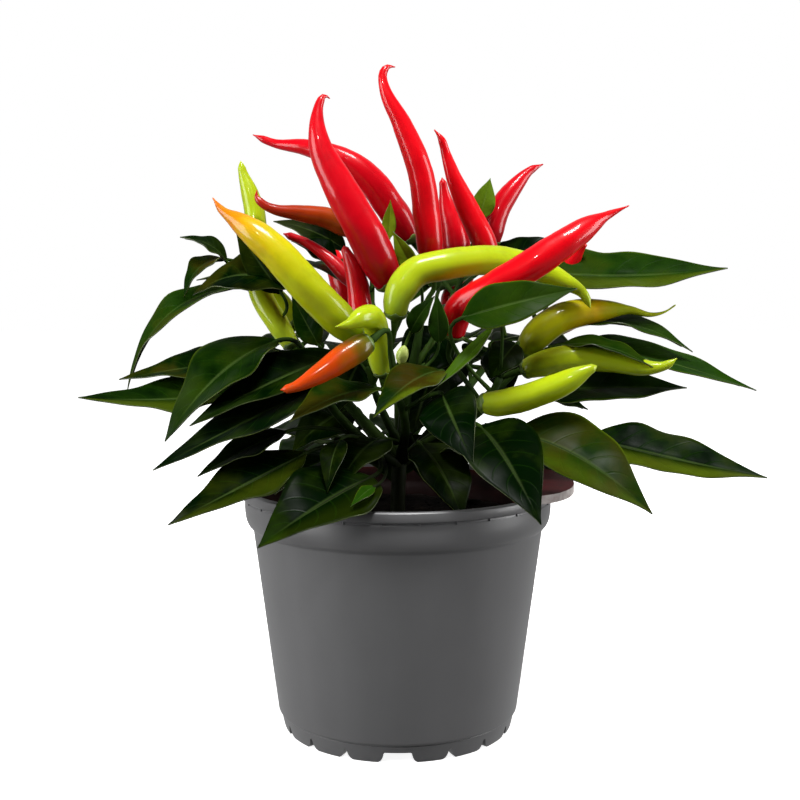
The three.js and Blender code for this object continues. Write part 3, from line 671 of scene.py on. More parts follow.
# leaves seen from the front: base, tip, width, arch of the midrib and the way the top looks
frontLeaves = [
    ((-72, 12, 194), (-91, 10, 204), 12, 3, (0, -0.4, 1)),
    ((-73, 14, 195), (-89, 6, 179), 15, 5, (-0.5, -0.5, 0.8)),
    ((-70, 16, 183), (-117, 22, 139), 20, 11.5, (-0.67, -0.5, 0.74)),
    ((-64, 4, 152), (-116, 2, 145), 23, 1, (0, -0.42, 1)),
    ((-62, -7, 141), (-129, -14, 139), 28, -2.5, (0, -0.42, 1)),
    ((-48, -15, 162), (-90, -36, 124), 36, 6, (-0.5, -0.6, 1)),
    ((-22, -20, 157), (-79, -44, 131), 27, 2, (-0.1, -0.5, 1)),
    ((-27, -27, 146), (-92, -50, 115), 27, 1, (-0.1, -0.45, 1)),
    ((-44, -30, 127), (-76, -46, 112), 18, 1, (-0.2, -0.4, 1)),
    ((-36, -34, 119), (-84, -64, 97), 27, 0, (-0.1, -0.5, 1)),
    ((-10, -42, 111), (-49, -84, 93), 34, 2, (-0.2, -0.8, 1)),
    ((-22, -40, 125), (-26, -58, 108), 10, 3, (-0.3, -1, 0.6)),
    ((-9, -58, 110), (-17, -70, 105), 5, 1, (0.2, -0.8, 1)),
    ((-8, -30, 144), (-40, -56, 134), 24, 3, (0, -0.25, 1)),
    ((17, -31, 151), (-9, -60, 136), 20, 4, (-0.1, -0.5, 1)),
    ((37, -34, 169), (8, -52, 142), 7, -2, (-0.6, -0.6, 0.6)),
    ((17, -44, 143), (27, -72, 121), 22, 4, (-0.35, -0.9, 0.6)),
    ((47, -20, 161), (36, -26, 147), 14, 2, (0.2, -0.8, 1)),
    ((20, 10, 165), (2, 4, 142), 24, 2, (0, -0.8, 0.7)),
    ((24, 6, 156), (14, -2, 136), 18, 2, (0.2, -0.9, 0.7)),
    ((-19, 12, 132), (-44, 2, 115), 28, 3, (-0.2, -0.7, 1)),
    ((31, -44, 131), (49.5, -88, 102), 30, 5, (-0.1, -0.8, 1)),
    ((44, -36, 127), (93, -64, 101), 36, 7, (0.2, -0.8, 1)),
    ((76, -24, 124), (142, -40, 110.5), 29, -1, (0.1, -0.6, 1)),
    ((58, 6, 190), (135, -2, 191), 33, -3, (0, -0.62, 1)),
    ((73, 6, 167), (120, -8, 157), 20, 6, (0, -0.3, 1)),
    ((75, 2, 160), (144, -16, 142), 24, 2, (0.1, -0.4, 1)),
    ((66, -13, 160), (102, -24, 151), 16, 4, (0.1, -0.3, 1)),
    ((58, 0, 140), (119, -4, 142), 32, 1, (0, -0.5, 1)),
    ((58, 14, 137), (80, 6, 132), 14, 1, (0, -0.3, 1)),
    ((42, 36, 193), (76, 42, 202), 22, 2, (0, -0.6, 1)),
    ((35, 24, 212), (40, 30, 230), 10, 1, (0, -1, 0.3)),
    ((24.5, -42, 172), (67, -46, 183), 19, 1, (-0.1, -1, 0.55)),
    ((16, -30, 162), (15, -32, 181), 8, 1, (0, -1, 0.2)),
    ((5, -30, 166), (14, -36, 180), 9, 1, (-0.6, -1, 0.3)),
    ((-32, -10, 160), (-43, -8, 180), 11, 1, (-0.3, -1, 0.4)),
    ((-23, 34, 199), (-55, 40, 212), 16, 3, (-0.2, -0.6, 1)),
    ((-27, 26, 193), (-46, 28, 203), 14, 3, (-0.2, -0.6, 1)),
    ((7, -4, 190), (-2, -3, 206), 8, 1, (-0.6, -1, 0.4)),
    ((-4, 6, 203), (-3, 4, 219), 6, 0, (0, -1, 0.2)),
    ((-44, -6, 183), (-84, -2, 180), 25, 8, (0, -0.7, 1)),
    ((-47, -10, 181), (-66, -6, 208), 14, 1, (-0.5, -1, 0.3)),
    ((-14, 0, 156), (-24, -6, 133), 20, 2, (-0.2, -0.9, 0.6)),
    ((14, 8, 146), (6, 0, 122), 24, 2, (0, -0.9, 0.6)),
    ((40, 8, 158), (46, 2, 137), 18, 2, (0.2, -0.9, 0.6)),
]

# rows round the sides and back: count, first angle and step, base and tip as radius and height,
# width and arch
leafRows = [
    (5, 34, 27, (52, 117), (112, 95), 31, 7),
    (7, 30, 20, (50, 154), (118, 144), 30, 7),
    (5, 32, 29, (42, 180), (98, 192), 26, 5),
    (6, 46, 22, (18, 115), (47, 97), 30, 2),
    (4, 207, 42, (22, 120), (51, 102), 26, 3),
]


def unevenness(index, kind):
    return math.sin(2.4 * index + 1.7 * kind + 0.5)


def rowLeaves():
    leaves = []
    for r, (count, start, step, (foot, low), (reach, high), width, arch) in enumerate(leafRows):
        for i in range(count):
            seed = 10 * r + i
            turn = math.radians(start + step * i + 5 * unevenness(seed, 1))
            lean = 0.35 + 0.15 * unevenness(seed, 2)
            out = reach * (1 + 0.08 * unevenness(seed, 3))
            sway = turn + 0.12 * unevenness(seed, 4)
            base = ringPoint(foot, turn, low + 5 * unevenness(seed, 5))
            tip = ringPoint(out, sway, high + 8 * unevenness(seed, 6))
            wide = width * (1 + 0.1 * unevenness(seed, 7))
            leaves.append((base, tip, wide, arch, ringPoint(lean, turn, 1)))
    return leaves


# spots along the forks where stalks start; each counts its stalks, so that they spread
stalkStarts = []
for points, _, _ in forks[1:]:
    line = SmoothLine(points)
    stalkStarts += [{"point": line.even(k / 9), "stalks": 0} for k in range(2, 10)]


def nearestStart(target):
    def cost(start):
        point = start["point"]
        tooHigh = max(0, point[2] + 6 - target[2])
        return np.linalg.norm(point - target) + 2 * tooHigh + 5 * start["stalks"]
    best = min(stalkStarts, key=cost)
    best["stalks"] += 1
    return best["point"]


# leaves: one flat grid is the pattern, and every leaf is a copy bent to its own midrib

leafSettings = {
    "across": 14, "along": 30, "thickness": 0.45, "bendAt": 0.42, "fold": 0.2,
    # waves of the edge: shares of the length and of the width
    "waveAt": (0, 0.2, 0.42, 0.72, 1), "waves": (0, -0.03, 0.05, -0.03, 0.05),
    "ripple": 0.55, "ripples": 3.3, "quilting": 0.12, "groove": 0.35, "grooveWidth": 0.08,
    # narrower leaves ripple less
    "fullWidth": 26,
    "sideVeins": 8.0, "veinSlant": 0.11, "veinCurve": 0.09,
    # leaves that stand out: olive, pale midrib, lightness (over 1 is lime; a low value is partly the
    # leaf's own tone and partly painted shade for a leaf in shadow), which half is painted lighter
    # as if lit
    "looks": {
        0: (0.2, 0.1, 0.15, 0), 1: (0.9, 0.1, 0.35, 0), 2: (0.5, 0.1, 0.6, 0),
        3: (0.7, 0.1, 0.2, 0), 4: (0.15, 0.2, 0.3, -0.55), 5: (0.2, 0.15, 0.3, 0),
        6: (0.15, 0.2, 0.1, 0), 7: (0.1, 0.2, 0.0, 0), 8: (0.1, 0.1, 0.02, 0),
        9: (0.3, 0.15, 0.05, -0.25), 10: (0.1, 0.1, 0.0, -0.1), 11: (0.2, 0.1, 0.0, 0),
        12: (0.0, 0.2, 0.9, 0), 13: (0.8, 0.1, 0.3, 0), 14: (1.0, 0.1, 0.3, -0.9),
        15: (0.0, 0.1, 1.1, 0), 16: (0.1, 0.12, 0.0, 0), 17: (0.1, 0.1, 0.05, 0),
        18: (0.1, 0.1, 0.05, 0), 19: (0.1, 0.1, 0.05, 0), 20: (0.2, 0.1, 0.05, 0),
        21: (0.1, 0.1, 0.02, 0), 22: (0.6, 0.1, 0.4, 0.4), 23: (0.35, 0.2, 0.2, 0.7),
        24: (0.3, 0.15, 0.6, 0.6), 25: (0.15, 0.2, 0.45, 0), 26: (0.15, 0.2, 0.7, 0),
        28: (0.2, 0.2, 0.5, 0), 30: (0.1, 0.2, 0.1, 0), 31: (0.3, 0.1, 1.25, 0),
        32: (0.2, 0.15, 0.5, 0), 33: (0.1, 0.1, 0.6, 0), 34: (0.1, 0.1, 0.3, 0),
        35: (0.9, 0.1, 0.3, 0), 36: (0.3, 0.2, 0.1, 0), 37: (0.2, 0.2, 0.1, 0),
        38: (0.1, 0.1, 1.5, 0), 39: (0.1, 0.1, 1.7, 0), 40: (0.6, 0.1, 0.1, 0),
        41: (0.3, 0.1, 0.1, 0), 42: (0.2, 0.1, 0.02, 0), 43: (0.2, 0.1, 0.02, 0),
        44: (0.2, 0.1, 0.02, 0),
    },
    # the low rows inside the plant are darker: painted shade, as the canopy shades them
    "innerFrom": 62, "paintedShadeLook": (0.2, 0.1, 0.02, 0),
}


def easedSteps(t, places, values):
    # moves smoothly from one value to the next
    i = np.clip(np.searchsorted(places, t, side="right") - 1, 0, len(places) - 2)
    places, values = np.asarray(places), np.asarray(values)
    w = np.clip((t - places[i]) / (places[i + 1] - places[i]), 0, 1)
    w = w * w * (3 - 2 * w)
    return values[i] * (1 - w) + values[i + 1] * w


def leafFrame(leaf, shares):
    # the midrib's curve, its slope, and the ways across and out of the blade
    base, tip, _, arch, face = (np.asarray(part, float) for part in leaf)
    chord = unit(tip - base)
    up = unit(unit(face) - chord * (unit(face) @ chord))
    middle = base + (tip - base) * leafSettings["bendAt"] + up * 2 * arch
    along = bend3Slope(base, middle, tip, shares)
    side = unit(np.cross(along, up))
    return bend3(base, middle, tip, shares), along, side, np.cross(side, along)


def bendLeaf(flat, index, leaf):
    s, t = flat[:, 0], flat[:, 1]
    width = leaf[2]
    curve, _, side, top = leafFrame(leaf, t)
    breadth = np.sin(np.pi * np.clip(t, 0, 1) ** 0.72) ** 1.1
    half = np.maximum(0.5 * width * breadth, 0.9 * (1 - t) ** 4 + 0.12)
    # folded along the midrib, waved at the edges, puffed between the side veins
    out = np.abs(s)
    lift = leafSettings["fold"] * half * out * (1.35 - 0.35 * out)
    wave = easedSteps(t, leafSettings["waveAt"], leafSettings["waves"]) * width * breadth
    lift = lift + wave * np.sign(s) * out ** 1.4
    # each leaf ripples in its own time
    turn = 1.3 * index
    ripple = np.sin(2 * np.pi * (leafSettings["ripples"] * t + 0.5 * np.sign(s)) + turn) * s ** 2
    small = min(1.0, width / leafSettings["fullWidth"])
    lift = lift + leafSettings["ripple"] * small * ripple * breadth
    slanted = t - leafSettings["veinSlant"] * out - leafSettings["veinCurve"] * s ** 2
    phase = slanted * leafSettings["sideVeins"] + np.where(s < 0, 0.5, 0)
    puff = np.cos(2 * np.pi * phase) * np.minimum(out * 4, 1) * (1 - out ** 3)
    lift = lift - leafSettings["quilting"] * small * puff * breadth
    groove = np.exp(-(s / leafSettings["grooveWidth"]) ** 2)
    lift = lift - leafSettings["groove"] * small * groove * breadth
    return curve + side * (s * half)[:, None] + top * lift[:, None]


def midribLine(leaf, start):
    # the leaf stalk, running on under the blade as its midrib
    base = np.asarray(leaf[0], float)
    _, ahead, _, _ = leafFrame(leaf, [0])
    bend = base - ahead[0] * 0.4 * np.linalg.norm(start - base)
    steps = np.linspace(0, 1, 9)
    shares = np.linspace(0.06, 0.92, 12)
    curve, _, _, top = leafFrame(leaf, shares)
    size = min(1.0, 0.55 + 0.45 * leaf[2] / 30)
    radii = [*np.interp(steps, [0, 0.12, 0.8, 1], [1.25, 1.0, 0.9, 0.95]), *(0.85 - 0.62 * shares)]
    return np.vstack([bend3(start, bend, base, steps), curve - top * 0.5]), np.array(radii) * size


def makeLeaves(leaves):
    clearSelection()
    bpy.ops.mesh.primitive_grid_add(x_subdivisions=leafSettings["across"],
                                    y_subdivisions=leafSettings["along"], size=2, calc_uvs=True)
    pattern = bpy.context.object
    flat = np.zeros(len(pattern.data.vertices) * 3)
    pattern.data.vertices.foreach_get("co", flat)
    flat = flat.reshape(-1, 3)[:, :2]
    flat = np.column_stack([flat[:, 0], (flat[:, 1] + 1) / 2])
    made = []
    for index, leaf in enumerate(leaves):
        blade = pattern.data.copy()
        blade.vertices.foreach_set("co", toScene(bendLeaf(flat, index, leaf)).ravel())
        chance = random.Random(index)
        ranges = ((0.05, 0.35), (0.1, 0.35), (0.15, 0.45))
        usual = (*(chance.uniform(low, high) for low, high in ranges), 0)
        # leaves inside the plant take the darker look: painted shade, as the canopy shades them
        if index >= leafSettings["innerFrom"]:
            usual = leafSettings["paintedShadeLook"]
        olive, paleRib, light, half = leafSettings["looks"].get(index, usual)
        attribute = blade.attributes.new("look", "FLOAT_COLOR", "POINT")
        look = [olive, paleRib, light, 0.5 + 0.5 * half]
        attribute.data.foreach_set("color", look * len(blade.vertices))
        made.append(linked("blade", blade))
    bpy.data.objects.remove(pattern)
    return joinAll(made, "leaf_blades")


def leafPattern(tree):
    # shares used by both faces of the leaf, from its own UV map
    uv = addNode(tree, "UVMap", uv_map="UVMap").outputs[0]
    axes = addNode(tree, "SeparateXYZ", {0: uv})
    across = minus(tree, times(tree, axes.outputs[0], 2.0), 1.0)
    s = maths(tree, "ABSOLUTE", across)
    t = axes.outputs[1]
    slant = plus(tree, times(tree, s, leafSettings["veinSlant"]),
                 times(tree, times(tree, s, s), leafSettings["veinCurve"]))
    phase = times(tree, minus(tree, t, slant), leafSettings["sideVeins"])
    onLeft = times(tree, maths(tree, "LESS_THAN", across, 0.0), 0.5)
    phase = maths(tree, "FRACT", plus(tree, phase, plus(tree, onLeft, 4.0)))
    near = times(tree, maths(tree, "ABSOLUTE", minus(tree, phase, 0.5)), 2.0)
    veins = times(tree, between(tree, near, 0.84, 1.0), between(tree, s, 0.6, 0.98, 1.0, 0.0))
    rib = times(tree, between(tree, s, 0.025, 0.085, 1.0, 0.0),
                between(tree, t, 0.55, 1.0, 1.0, 0.0))
    return across, s, veins, rib


def leafSkin(name, deep, fresh, olive, lime, paleRib, edgeColour, roughness):
    material, tree, shader = newMaterial(name)
    across, s, veins, rib = leafPattern(tree)
    look = addNode(tree, "Attribute", attribute_name="look")
    olives, pale, lightness = addNode(tree, "SeparateColor", {0: look.outputs["Color"]}).outputs
    patches = speckle(tree, 55)
    mottle = speckle(tree, 260, 3.0, 0.65)
    shift = times(tree, minus(tree, patches, 0.5), 1.3)
    # lightness is partly the leaf's own tone and partly painted shade for leaves in shadow
    light = plus(tree, times(tree, lightness, 0.9), shift, clamp=True)
    colour = blendColour(tree, light, deep, fresh)
    # painted light: one half of the leaf is painted a lighter lime, as if that half catches the
    # light
    half = times(tree, minus(tree, look.outputs["Alpha"], 0.5), 2.0)
    paintedLightHalf = between(tree, times(tree, across, maths(tree, "SIGN", half)), 0.0, 0.7)
    rim = times(tree, between(tree, s, 0.93, 1.0), times(tree, lightness, 1.2, clamp=True))
    colour = layered(
        tree, colour,
        (times(tree, paintedLightHalf, maths(tree, "ABSOLUTE", half)), tuple(0.3 * c for c in lime)),
        (minus(tree, lightness, 1.0, clamp=True), lime),
        (times(tree, between(tree, patches, 0.42, 0.66), olives), olive),
        (times(tree, mottle, 0.35), deep),
        (times(tree, veins, 0.1), fresh),
        (times(tree, rib, plus(tree, times(tree, pale, 0.8), 0.08)), paleRib),
        (rim, edgeColour))
    fill(shader, colour=colour,
         roughness=ranged(tree, patches, 0.3, 0.7, roughness - 0.06, roughness + 0.1),
         specular=ranged(tree, speckle(tree, 40, 2.0), 0.5, 0.68, 0.008, 0.075))
    groove = minus(tree, times(tree, mottle, 0.5), plus(tree, veins, times(tree, rib, 0.6)))
    addBump(tree, shader, groove, 0.2, 0.0006)
    return material


allLeaves = frontLeaves + rowLeaves()
leafBlades = makeLeaves(allLeaves)
leafBlades.data.materials.append(leafSkin(
    "leaf_top", (0.0004, 0.0035, 0.0002), (0.016, 0.056, 0.002), (0.028, 0.020, 0.0010),
    (0.22, 0.32, 0.012), (0.10, 0.16, 0.04), (0.07, 0.11, 0.004), 0.40))
leafBlades.data.materials.append(leafSkin(
    "leaf_under", (0.008, 0.024, 0.004), (0.035, 0.085, 0.010), (0.038, 0.034, 0.006),
    (0.20, 0.29, 0.03), (0.08, 0.12, 0.03), (0.06, 0.09, 0.008), 0.5))
leafBlades.data.materials.append(plainSkin(
    "leaf_rim", 90, (0.35, (0.010, 0.020, 0.002)), (0.65, (0.05, 0.07, 0.006)), roughness=0.45))
applyModifier(leafBlades, "SOLIDIFY", "thickness", thickness=leafSettings["thickness"] * mm,
              offset=0, material_offset=1, material_offset_rim=2)
smoothShade(leafBlades)
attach(leafBlades, "root")
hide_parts("leafy_plant")
print("leaves done", len(allLeaves))


# fruits: node, greatest radius, fullness of the taper, share that is the nib, skin and centre line

fruits = [
    ("chilli_red_tall", 5.4, 3.2, 0.06, "red",
     [(14, 2, 192), (12, 0, 211), (9, -2, 230), (2, -2, 248), (-5, -2, 262), (-6, -1, 269),
      (-4, 0, 272), (-1, 1, 272)]),
    ("chilli_red_broad", 7.5, 3.2, 0.06, "crimson",
     [(-3, -9, 184), (-13, -13, 205), (-22, -14, 221), (-30, -14, 237), (-32, -13, 247),
      (-31, -11, 256), (-29, -10, 259), (-27, -9, 258)]),
    ("chilli_red_left_back", 6.4, 2.4, 0.06, "crimson",
     [(6, 28, 204), (-3, 26, 217), (-11, 24, 228), (-23, 24, 237), (-40, 28, 243), (-53, 32, 245),
      (-63, 34, 249)]),
    ("chilli_red_right_upright", 5.1, 2.2, 0.1, "red",
     [(39, 10, 196), (34, 10, 206), (28, 10, 218), (23, 9, 229), (20, 9, 238), (18, 8, 244),
      (15, 8, 248)]),
    ("chilli_red_right_behind", 6.3, 1.8, 0.06, "crimson",
     [(26, 27, 196), (24, 27, 207), (21, 27, 218), (19, 26, 230)]),
    ("chilli_red_right_short", 4.5, 3.8, 0.12, "crimson",
     [(41, 32, 202), (42, 32, 210), (46, 34, 220), (52, 36, 228), (58, 38, 234), (64, 40, 237)]),
    ("chilli_red_right_long", 5.9, 8, 0.1, "red",
     [(22, -18, 164), (24, -22, 174), (30, -27, 179), (40, -31, 185), (53, -33, 193),
      (65, -32, 201), (74, -29, 207), (81, -26, 211), (90, -24, 215)]),
    ("chilli_red_right_low", 5.1, 1.6, 0.03, "red",
     [(68, 14, 185), (72, 13, 192), (78, 9, 202)]),
    ("chilli_red_small_left", 4.4, 4.8, 0.03, "crimson",
     [(-15, -9, 163), (-15, -8, 173), (-17, -7, 188), (-22, -6, 200)]),
    ("chilli_red_left_behind", 3.4, 1.2, 0.08, "crimson",
     [(-19, 14, 185), (-29, 16, 195), (-39, 19, 202), (-49, 22, 206)]),
    ("chilli_red_back_left", 5.6, 2.4, 0.06, "red",
     [(-22, 52, 174), (-28, 58, 192), (-36, 66, 211)]),
    ("chilli_red_back_right", 6, 2.4, 0.06, "red",
     [(24, 54, 172), (31, 62, 190), (40, 70, 206)]),
    ("chilli_brown_hooked", 4.6, 1.8, 0.1, "brown",
     [(-19, 17, 207), (-29, 14, 212), (-41, 9, 214), (-50, 5, 215), (-55, 4, 217), (-58, 4, 220),
      (-58, 4, 223)]),
    ("chilli_amber_long_left", 6.6, 6, 0.08, "amber",
     [(-16, -23, 164), (-23, -27, 171), (-36, -31, 185), (-47, -31, 197), (-55, -30, 204),
      (-62, -28, 209), (-68, -26, 213), (-72, -24, 218)]),
    ("chilli_orange_left_front", 4.9, 2.6, 0.06, "orange",
     [(-11, -46, 163), (-16, -49, 160), (-24, -53, 155), (-32, -56, 150), (-38, -57, 147),
      (-43, -58, 146)]),
    ("chilli_lime_left_steep", 4.5, 8, 0.03, "lime",
     [(-44, 2, 159), (-49, 3, 167), (-57, 6, 180), (-59, 9, 197), (-60, 13, 214), (-62, 14, 222),
      (-65, 15, 231), (-66, 15, 236)]),
    ("chilli_lime_arched", 5.8, 5.6, 0.03, "lime",
     [(-1, -25, 172), (0, -26, 180), (7, -24, 189), (18, -21, 192), (38, -14, 194), (55, -11, 191),
      (66, -12, 186), (74, -14, 181), (77, -15, 175)]),
    ("chilli_lime_curled", 4.5, 8, 0.08, "lime",
     [(-6, -25, 149), (-7, -26, 157), (-8, -31, 166), (-10, -41, 172), (-14, -49, 172),
      (-18, -53, 170), (-23, -55, 169)]),
    ("chilli_olive_right", 6.1, 4, 0.28, "olive",
     [(52, -4, 157), (57, -7, 164), (67, -6, 171), (84, -2, 174), (95, -1, 174), (104, 0, 172),
      (110, 1, 173), (115, 2, 176)]),
    ("chilli_lime_right_flat", 5, 4.4, 0.06, "lime",
     [(51, -12, 150), (56, -14, 152), (69, -16, 155), (86, -18, 154), (98.5, -21, 151.5),
      (105.5, -23, 152.5), (110, -24, 155.5)]),
    ("chilli_lime_right_front", 4.9, 6.6, 0.03, "lime",
     [(32, -36, 139), (39, -37, 139), (50, -40, 142), (62, -43, 147), (71, -45, 152),
      (75, -45, 154)]),
    ("chilli_lime_back", 5.2, 2.6, 0.05, "lime",
     [(-46, 44, 166), (-58, 52, 180), (-74, 58, 188)]),
    ("chilli_orange_back", 5.2, 2.6, 0.05, "orange",
     [(66, 44, 164), (80, 50, 169), (96, 56, 172.5)]),
]

fruitSettings = {
    "rings": 56, "halfRound": 9, "nibRadius": 1.7, "leastRadius": 0.36,
    "shoulder": 0.7, "shoulderEnd": 0.16, "lumps": 0.05, "flatness": 0.022,
    "slots": {"red": "red_skin", "crimson": "red_skin", "lime": "lime_skin", "amber": "amber_skin",
              "orange": "orange_skin", "olive": "olive_skin", "brown": "brown_skin"},
    # colours from the stalk to the tip
    "skins": {
        "red": [(0.0, (0.34, 0.0002, 0.003)), (0.25, (0.52, 0.0002, 0.004)),
                (0.7, (0.58, 0.0005, 0.005)), (1.0, (0.50, 0.0015, 0.004))],
        "crimson": [(0.0, (0.24, 0.0001, 0.004)), (0.35, (0.44, 0.0001, 0.005)),
                    (0.8, (0.50, 0.0004, 0.006)), (1.0, (0.40, 0.0015, 0.005))],
        "lime": [(0.0, (0.27, 0.36, 0.014)), (0.2, (0.33, 0.41, 0.007)),
                 (0.7, (0.32, 0.41, 0.004)), (1.0, (0.30, 0.38, 0.007))],
        "amber": [(0.0, (0.16, 0.22, 0.003)), (0.4, (0.33, 0.36, 0.003)),
                  (0.65, (0.46, 0.38, 0.002)), (0.85, (0.56, 0.20, 0.001)),
                  (1.0, (0.50, 0.11, 0.001))],
        "orange": [(0.0, (0.06, 0.075, 0.002)), (0.2, (0.13, 0.07, 0.002)),
                   (0.4, (0.44, 0.040, 0.001)), (1.0, (0.48, 0.045, 0.002))],
        "olive": [(0.0, (0.13, 0.17, 0.002)), (0.3, (0.28, 0.28, 0.002)),
                  (0.5, (0.42, 0.26, 0.002)), (0.66, (0.26, 0.30, 0.002)),
                  (1.0, (0.42, 0.50, 0.02))],
        "brown": [(0.0, (0.20, 0.04, 0.004)), (0.4, (0.34, 0.035, 0.003)),
                  (0.8, (0.26, 0.012, 0.003)), (1.0, (0.34, 0.012, 0.004))],
    },
}


def fruitRadius(share, radius, fullness, nib):
    # swells from the shoulder, narrows towards the tip and ends in a thin nib
    narrow = fruitSettings["shoulder"]
    swell = math.sin(min(share / fruitSettings["shoulderEnd"], 1) * math.pi / 2)
    shoulder = narrow + (1 - narrow) * swell
    body = radius * (1 - min(share / (1 - nib), 1) ** fullness)
    point = fruitSettings["nibRadius"] * min((1 - share) / nib, 1)
    return shoulder * max(math.hypot(body, point), fruitSettings["leastRadius"])


def makeFruit(node, radius, fullness, nib, points, index):
    count = fruitSettings["rings"]
    even = np.linspace(0, 1, count)
    shares = np.concatenate([[0, 0.004, 0.012], even[1:-1], [0.988, 0.996, 1]])
    radii = np.array([fruitRadius(share, radius, fullness, nib) for share in shares])
    radii[:3] *= (0.55, 0.86, 0.97)
    radii[-3:] *= (1, 0.8, 0.35)
    line = SmoothLine(points)
    centres = line.along(shares)
    name = node.replace("chilli_", "fruit_")
    fruit = drawTubes(name, [(centres, radii)], fruitSettings["halfRound"])
    spots = np.array([(v.co - axis) / mm for v in fruit.data.vertices])
    nearest = np.argmin(np.linalg.norm(spots[:, None] - centres[None], axis=2), axis=1)
    out = spots - centres[nearest]
    swell = np.array([
        1 + fruitSettings["lumps"] * noise.noise(Vector(p) * 0.12 + Vector((index, 0, 0)))
        + 0.4 * fruitSettings["lumps"] * noise.noise(Vector(p) * 0.38)
        for p in spots])
    # flat-sided in places, as a ripe pod is
    angle = np.arctan2(out[:, 2], out[:, 0])
    sides = np.sin(3 * angle + 2.1 * index) * np.sin(np.pi * shares[nearest])
    swell += fruitSettings["flatness"] * sides
    fruit.data.vertices.foreach_set("co", toScene(centres[nearest] + out * swell[:, None]).ravel())
    attribute = fruit.data.attributes.new("along", "FLOAT", "POINT")
    attribute.data.foreach_set("value", shares[nearest])
    return fruit


def fruitSkin(name, steps):
    material, tree, shader = newMaterial(name + "_fruit")
    along = addNode(tree, "Attribute", attribute_name="along").outputs["Fac"]
    shift = times(tree, minus(tree, speckle(tree, 48), 0.5), 0.5)
    colour = colourSteps(tree, plus(tree, along, shift, clamp=True), steps)
    dapple = times(tree, between(tree, speckle(tree, 130, 4.0, 0.6), 0.45, 0.75), 0.4)
    colour = blendColour(tree, dapple, colour, tuple(0.62 * c for c in steps[1][1]))
    fill(shader, colour=colour, roughness=0.34, specular=0.12, coat=0.3, coatRoughness=0.07,
         soft=0.06, softScale=0.003)
    addBump(tree, shader, speckle(tree, 240), 0.10, 0.0005)
    return material


fruitSkins = {name: fruitSkin(name, steps) for name, steps in fruitSettings["skins"].items()}
for index, (node, radius, fullness, nib, skin, points) in enumerate(fruits):
    fruit = makeFruit(node, radius, fullness, nib, points, index)
    fruit.data.materials.append(fruitSkins[skin])
    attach(fruit, "root")
    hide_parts(node)
print("fruits done", len(fruits))


# calyxes: one cup with five teeth, copied to each fruit's shoulder

calyxSettings = {
    "sides": 30,
    "rings": [(0.2, -0.75), (0.26, -0.55), (0.36, -0.38), (0.66, -0.25), (0.93, -0.08), (1.07, 0.12),
              (1.1, 0.34)],
    "teeth": 5, "toothFrom": 0.1, "toothOver": 0.24, "toothLength": 0.26, "gapDepth": 0.12,
    "wall": 0.07,
    # beside the fruit's shoulder
    "looseness": 1.04,
}


def calyxPattern():
    calyx = raisedRings(calyxSettings["rings"], calyxSettings["sides"], Vector(), 1)
    leaveEdit()
    settle(calyx, "calyx")
    start = calyxSettings["toothFrom"]
    for vertex in calyx.data.vertices:
        if vertex.co.z > start:
            turn = math.atan2(vertex.co.y, vertex.co.x)
            tooth = max(0, math.cos(calyxSettings["teeth"] * turn)) ** 1.5
            reach = (vertex.co.z - start) / calyxSettings["toothOver"]
            vertex.co.z += reach * (calyxSettings["toothLength"] * tooth - calyxSettings["gapDepth"])
    recalcNormals(calyx)
    applyModifier(calyx, "SOLIDIFY", "wall", thickness=calyxSettings["wall"], offset=-1)
    applyModifier(calyx, "SUBSURF", "smooth", levels=1, render_levels=1)
    return calyx


def makeCalyxes():
    pattern = calyxPattern()
    copies = []
    for index, (_, radius, fullness, nib, _, points) in enumerate(fruits):
        ahead = Vector(SmoothLine(points).direction(0)).to_track_quat("Z", "Y").to_matrix().to_4x4()
        size = fruitRadius(0, radius, fullness, nib) * calyxSettings["looseness"]
        turn = Matrix.Rotation(1.9 * index, 4, "Z")
        mesh = pattern.data.copy()
        mesh.transform(Matrix.Translation(place(*points[0])) @ ahead @ turn
                       @ Matrix.Scale(size * mm, 4))
        copies.append(linked("calyx", mesh))
    bpy.data.objects.remove(pattern)
    calyxes = joinAll(copies, "calyxes")
    smoothShade(calyxes)
    return calyxes


# stems: forks, leaf stalks with midribs, fruit stalks and the bud's stalk

stemSettings = {
    "knots": 4, "knotSwell": 0.10,
    # a fruit stalk is straight over its neck; distances from the fruit and the radii there
    "gap": 0.3, "neck": 9, "endRadius": 1.3,
    "stalkAt": (0, 1.6, 2.6, 5, 9), "stalkRadii": (1.7, 1.7, 1.5, 1.25, 1.05),
    "budStalk": (0.95, 0.8),
}

bud = {"foot": (1, -32, 154), "tip": (2.6, -34, 161), "radius": 2.4, "sides": 40, "folds": 0.07,
       # share of the length and of the radius
       "shares": [(0, 0.35), (0.06, 0.6), (0.25, 0.95), (0.45, 1.03), (0.6, 0.98), (0.8, 0.74),
                  (0.93, 0.42), (1, 0.16)]}


def fruitStalkLine(points):
    line = SmoothLine(points)
    away = -line.direction(0)
    seat = line.even(0) + away * stemSettings["gap"]
    neck = seat + away * stemSettings["neck"]
    start = nearestStart(neck)
    path = SmoothLine([start, start + (neck - start) * 0.6, neck, seat])
    shares = np.linspace(0, 1, 20)
    left = (1 - shares) * path.length
    radii = np.interp(left, stemSettings["stalkAt"], stemSettings["stalkRadii"])
    radii[0] = stemSettings["endRadius"]
    return path.along(shares), radii


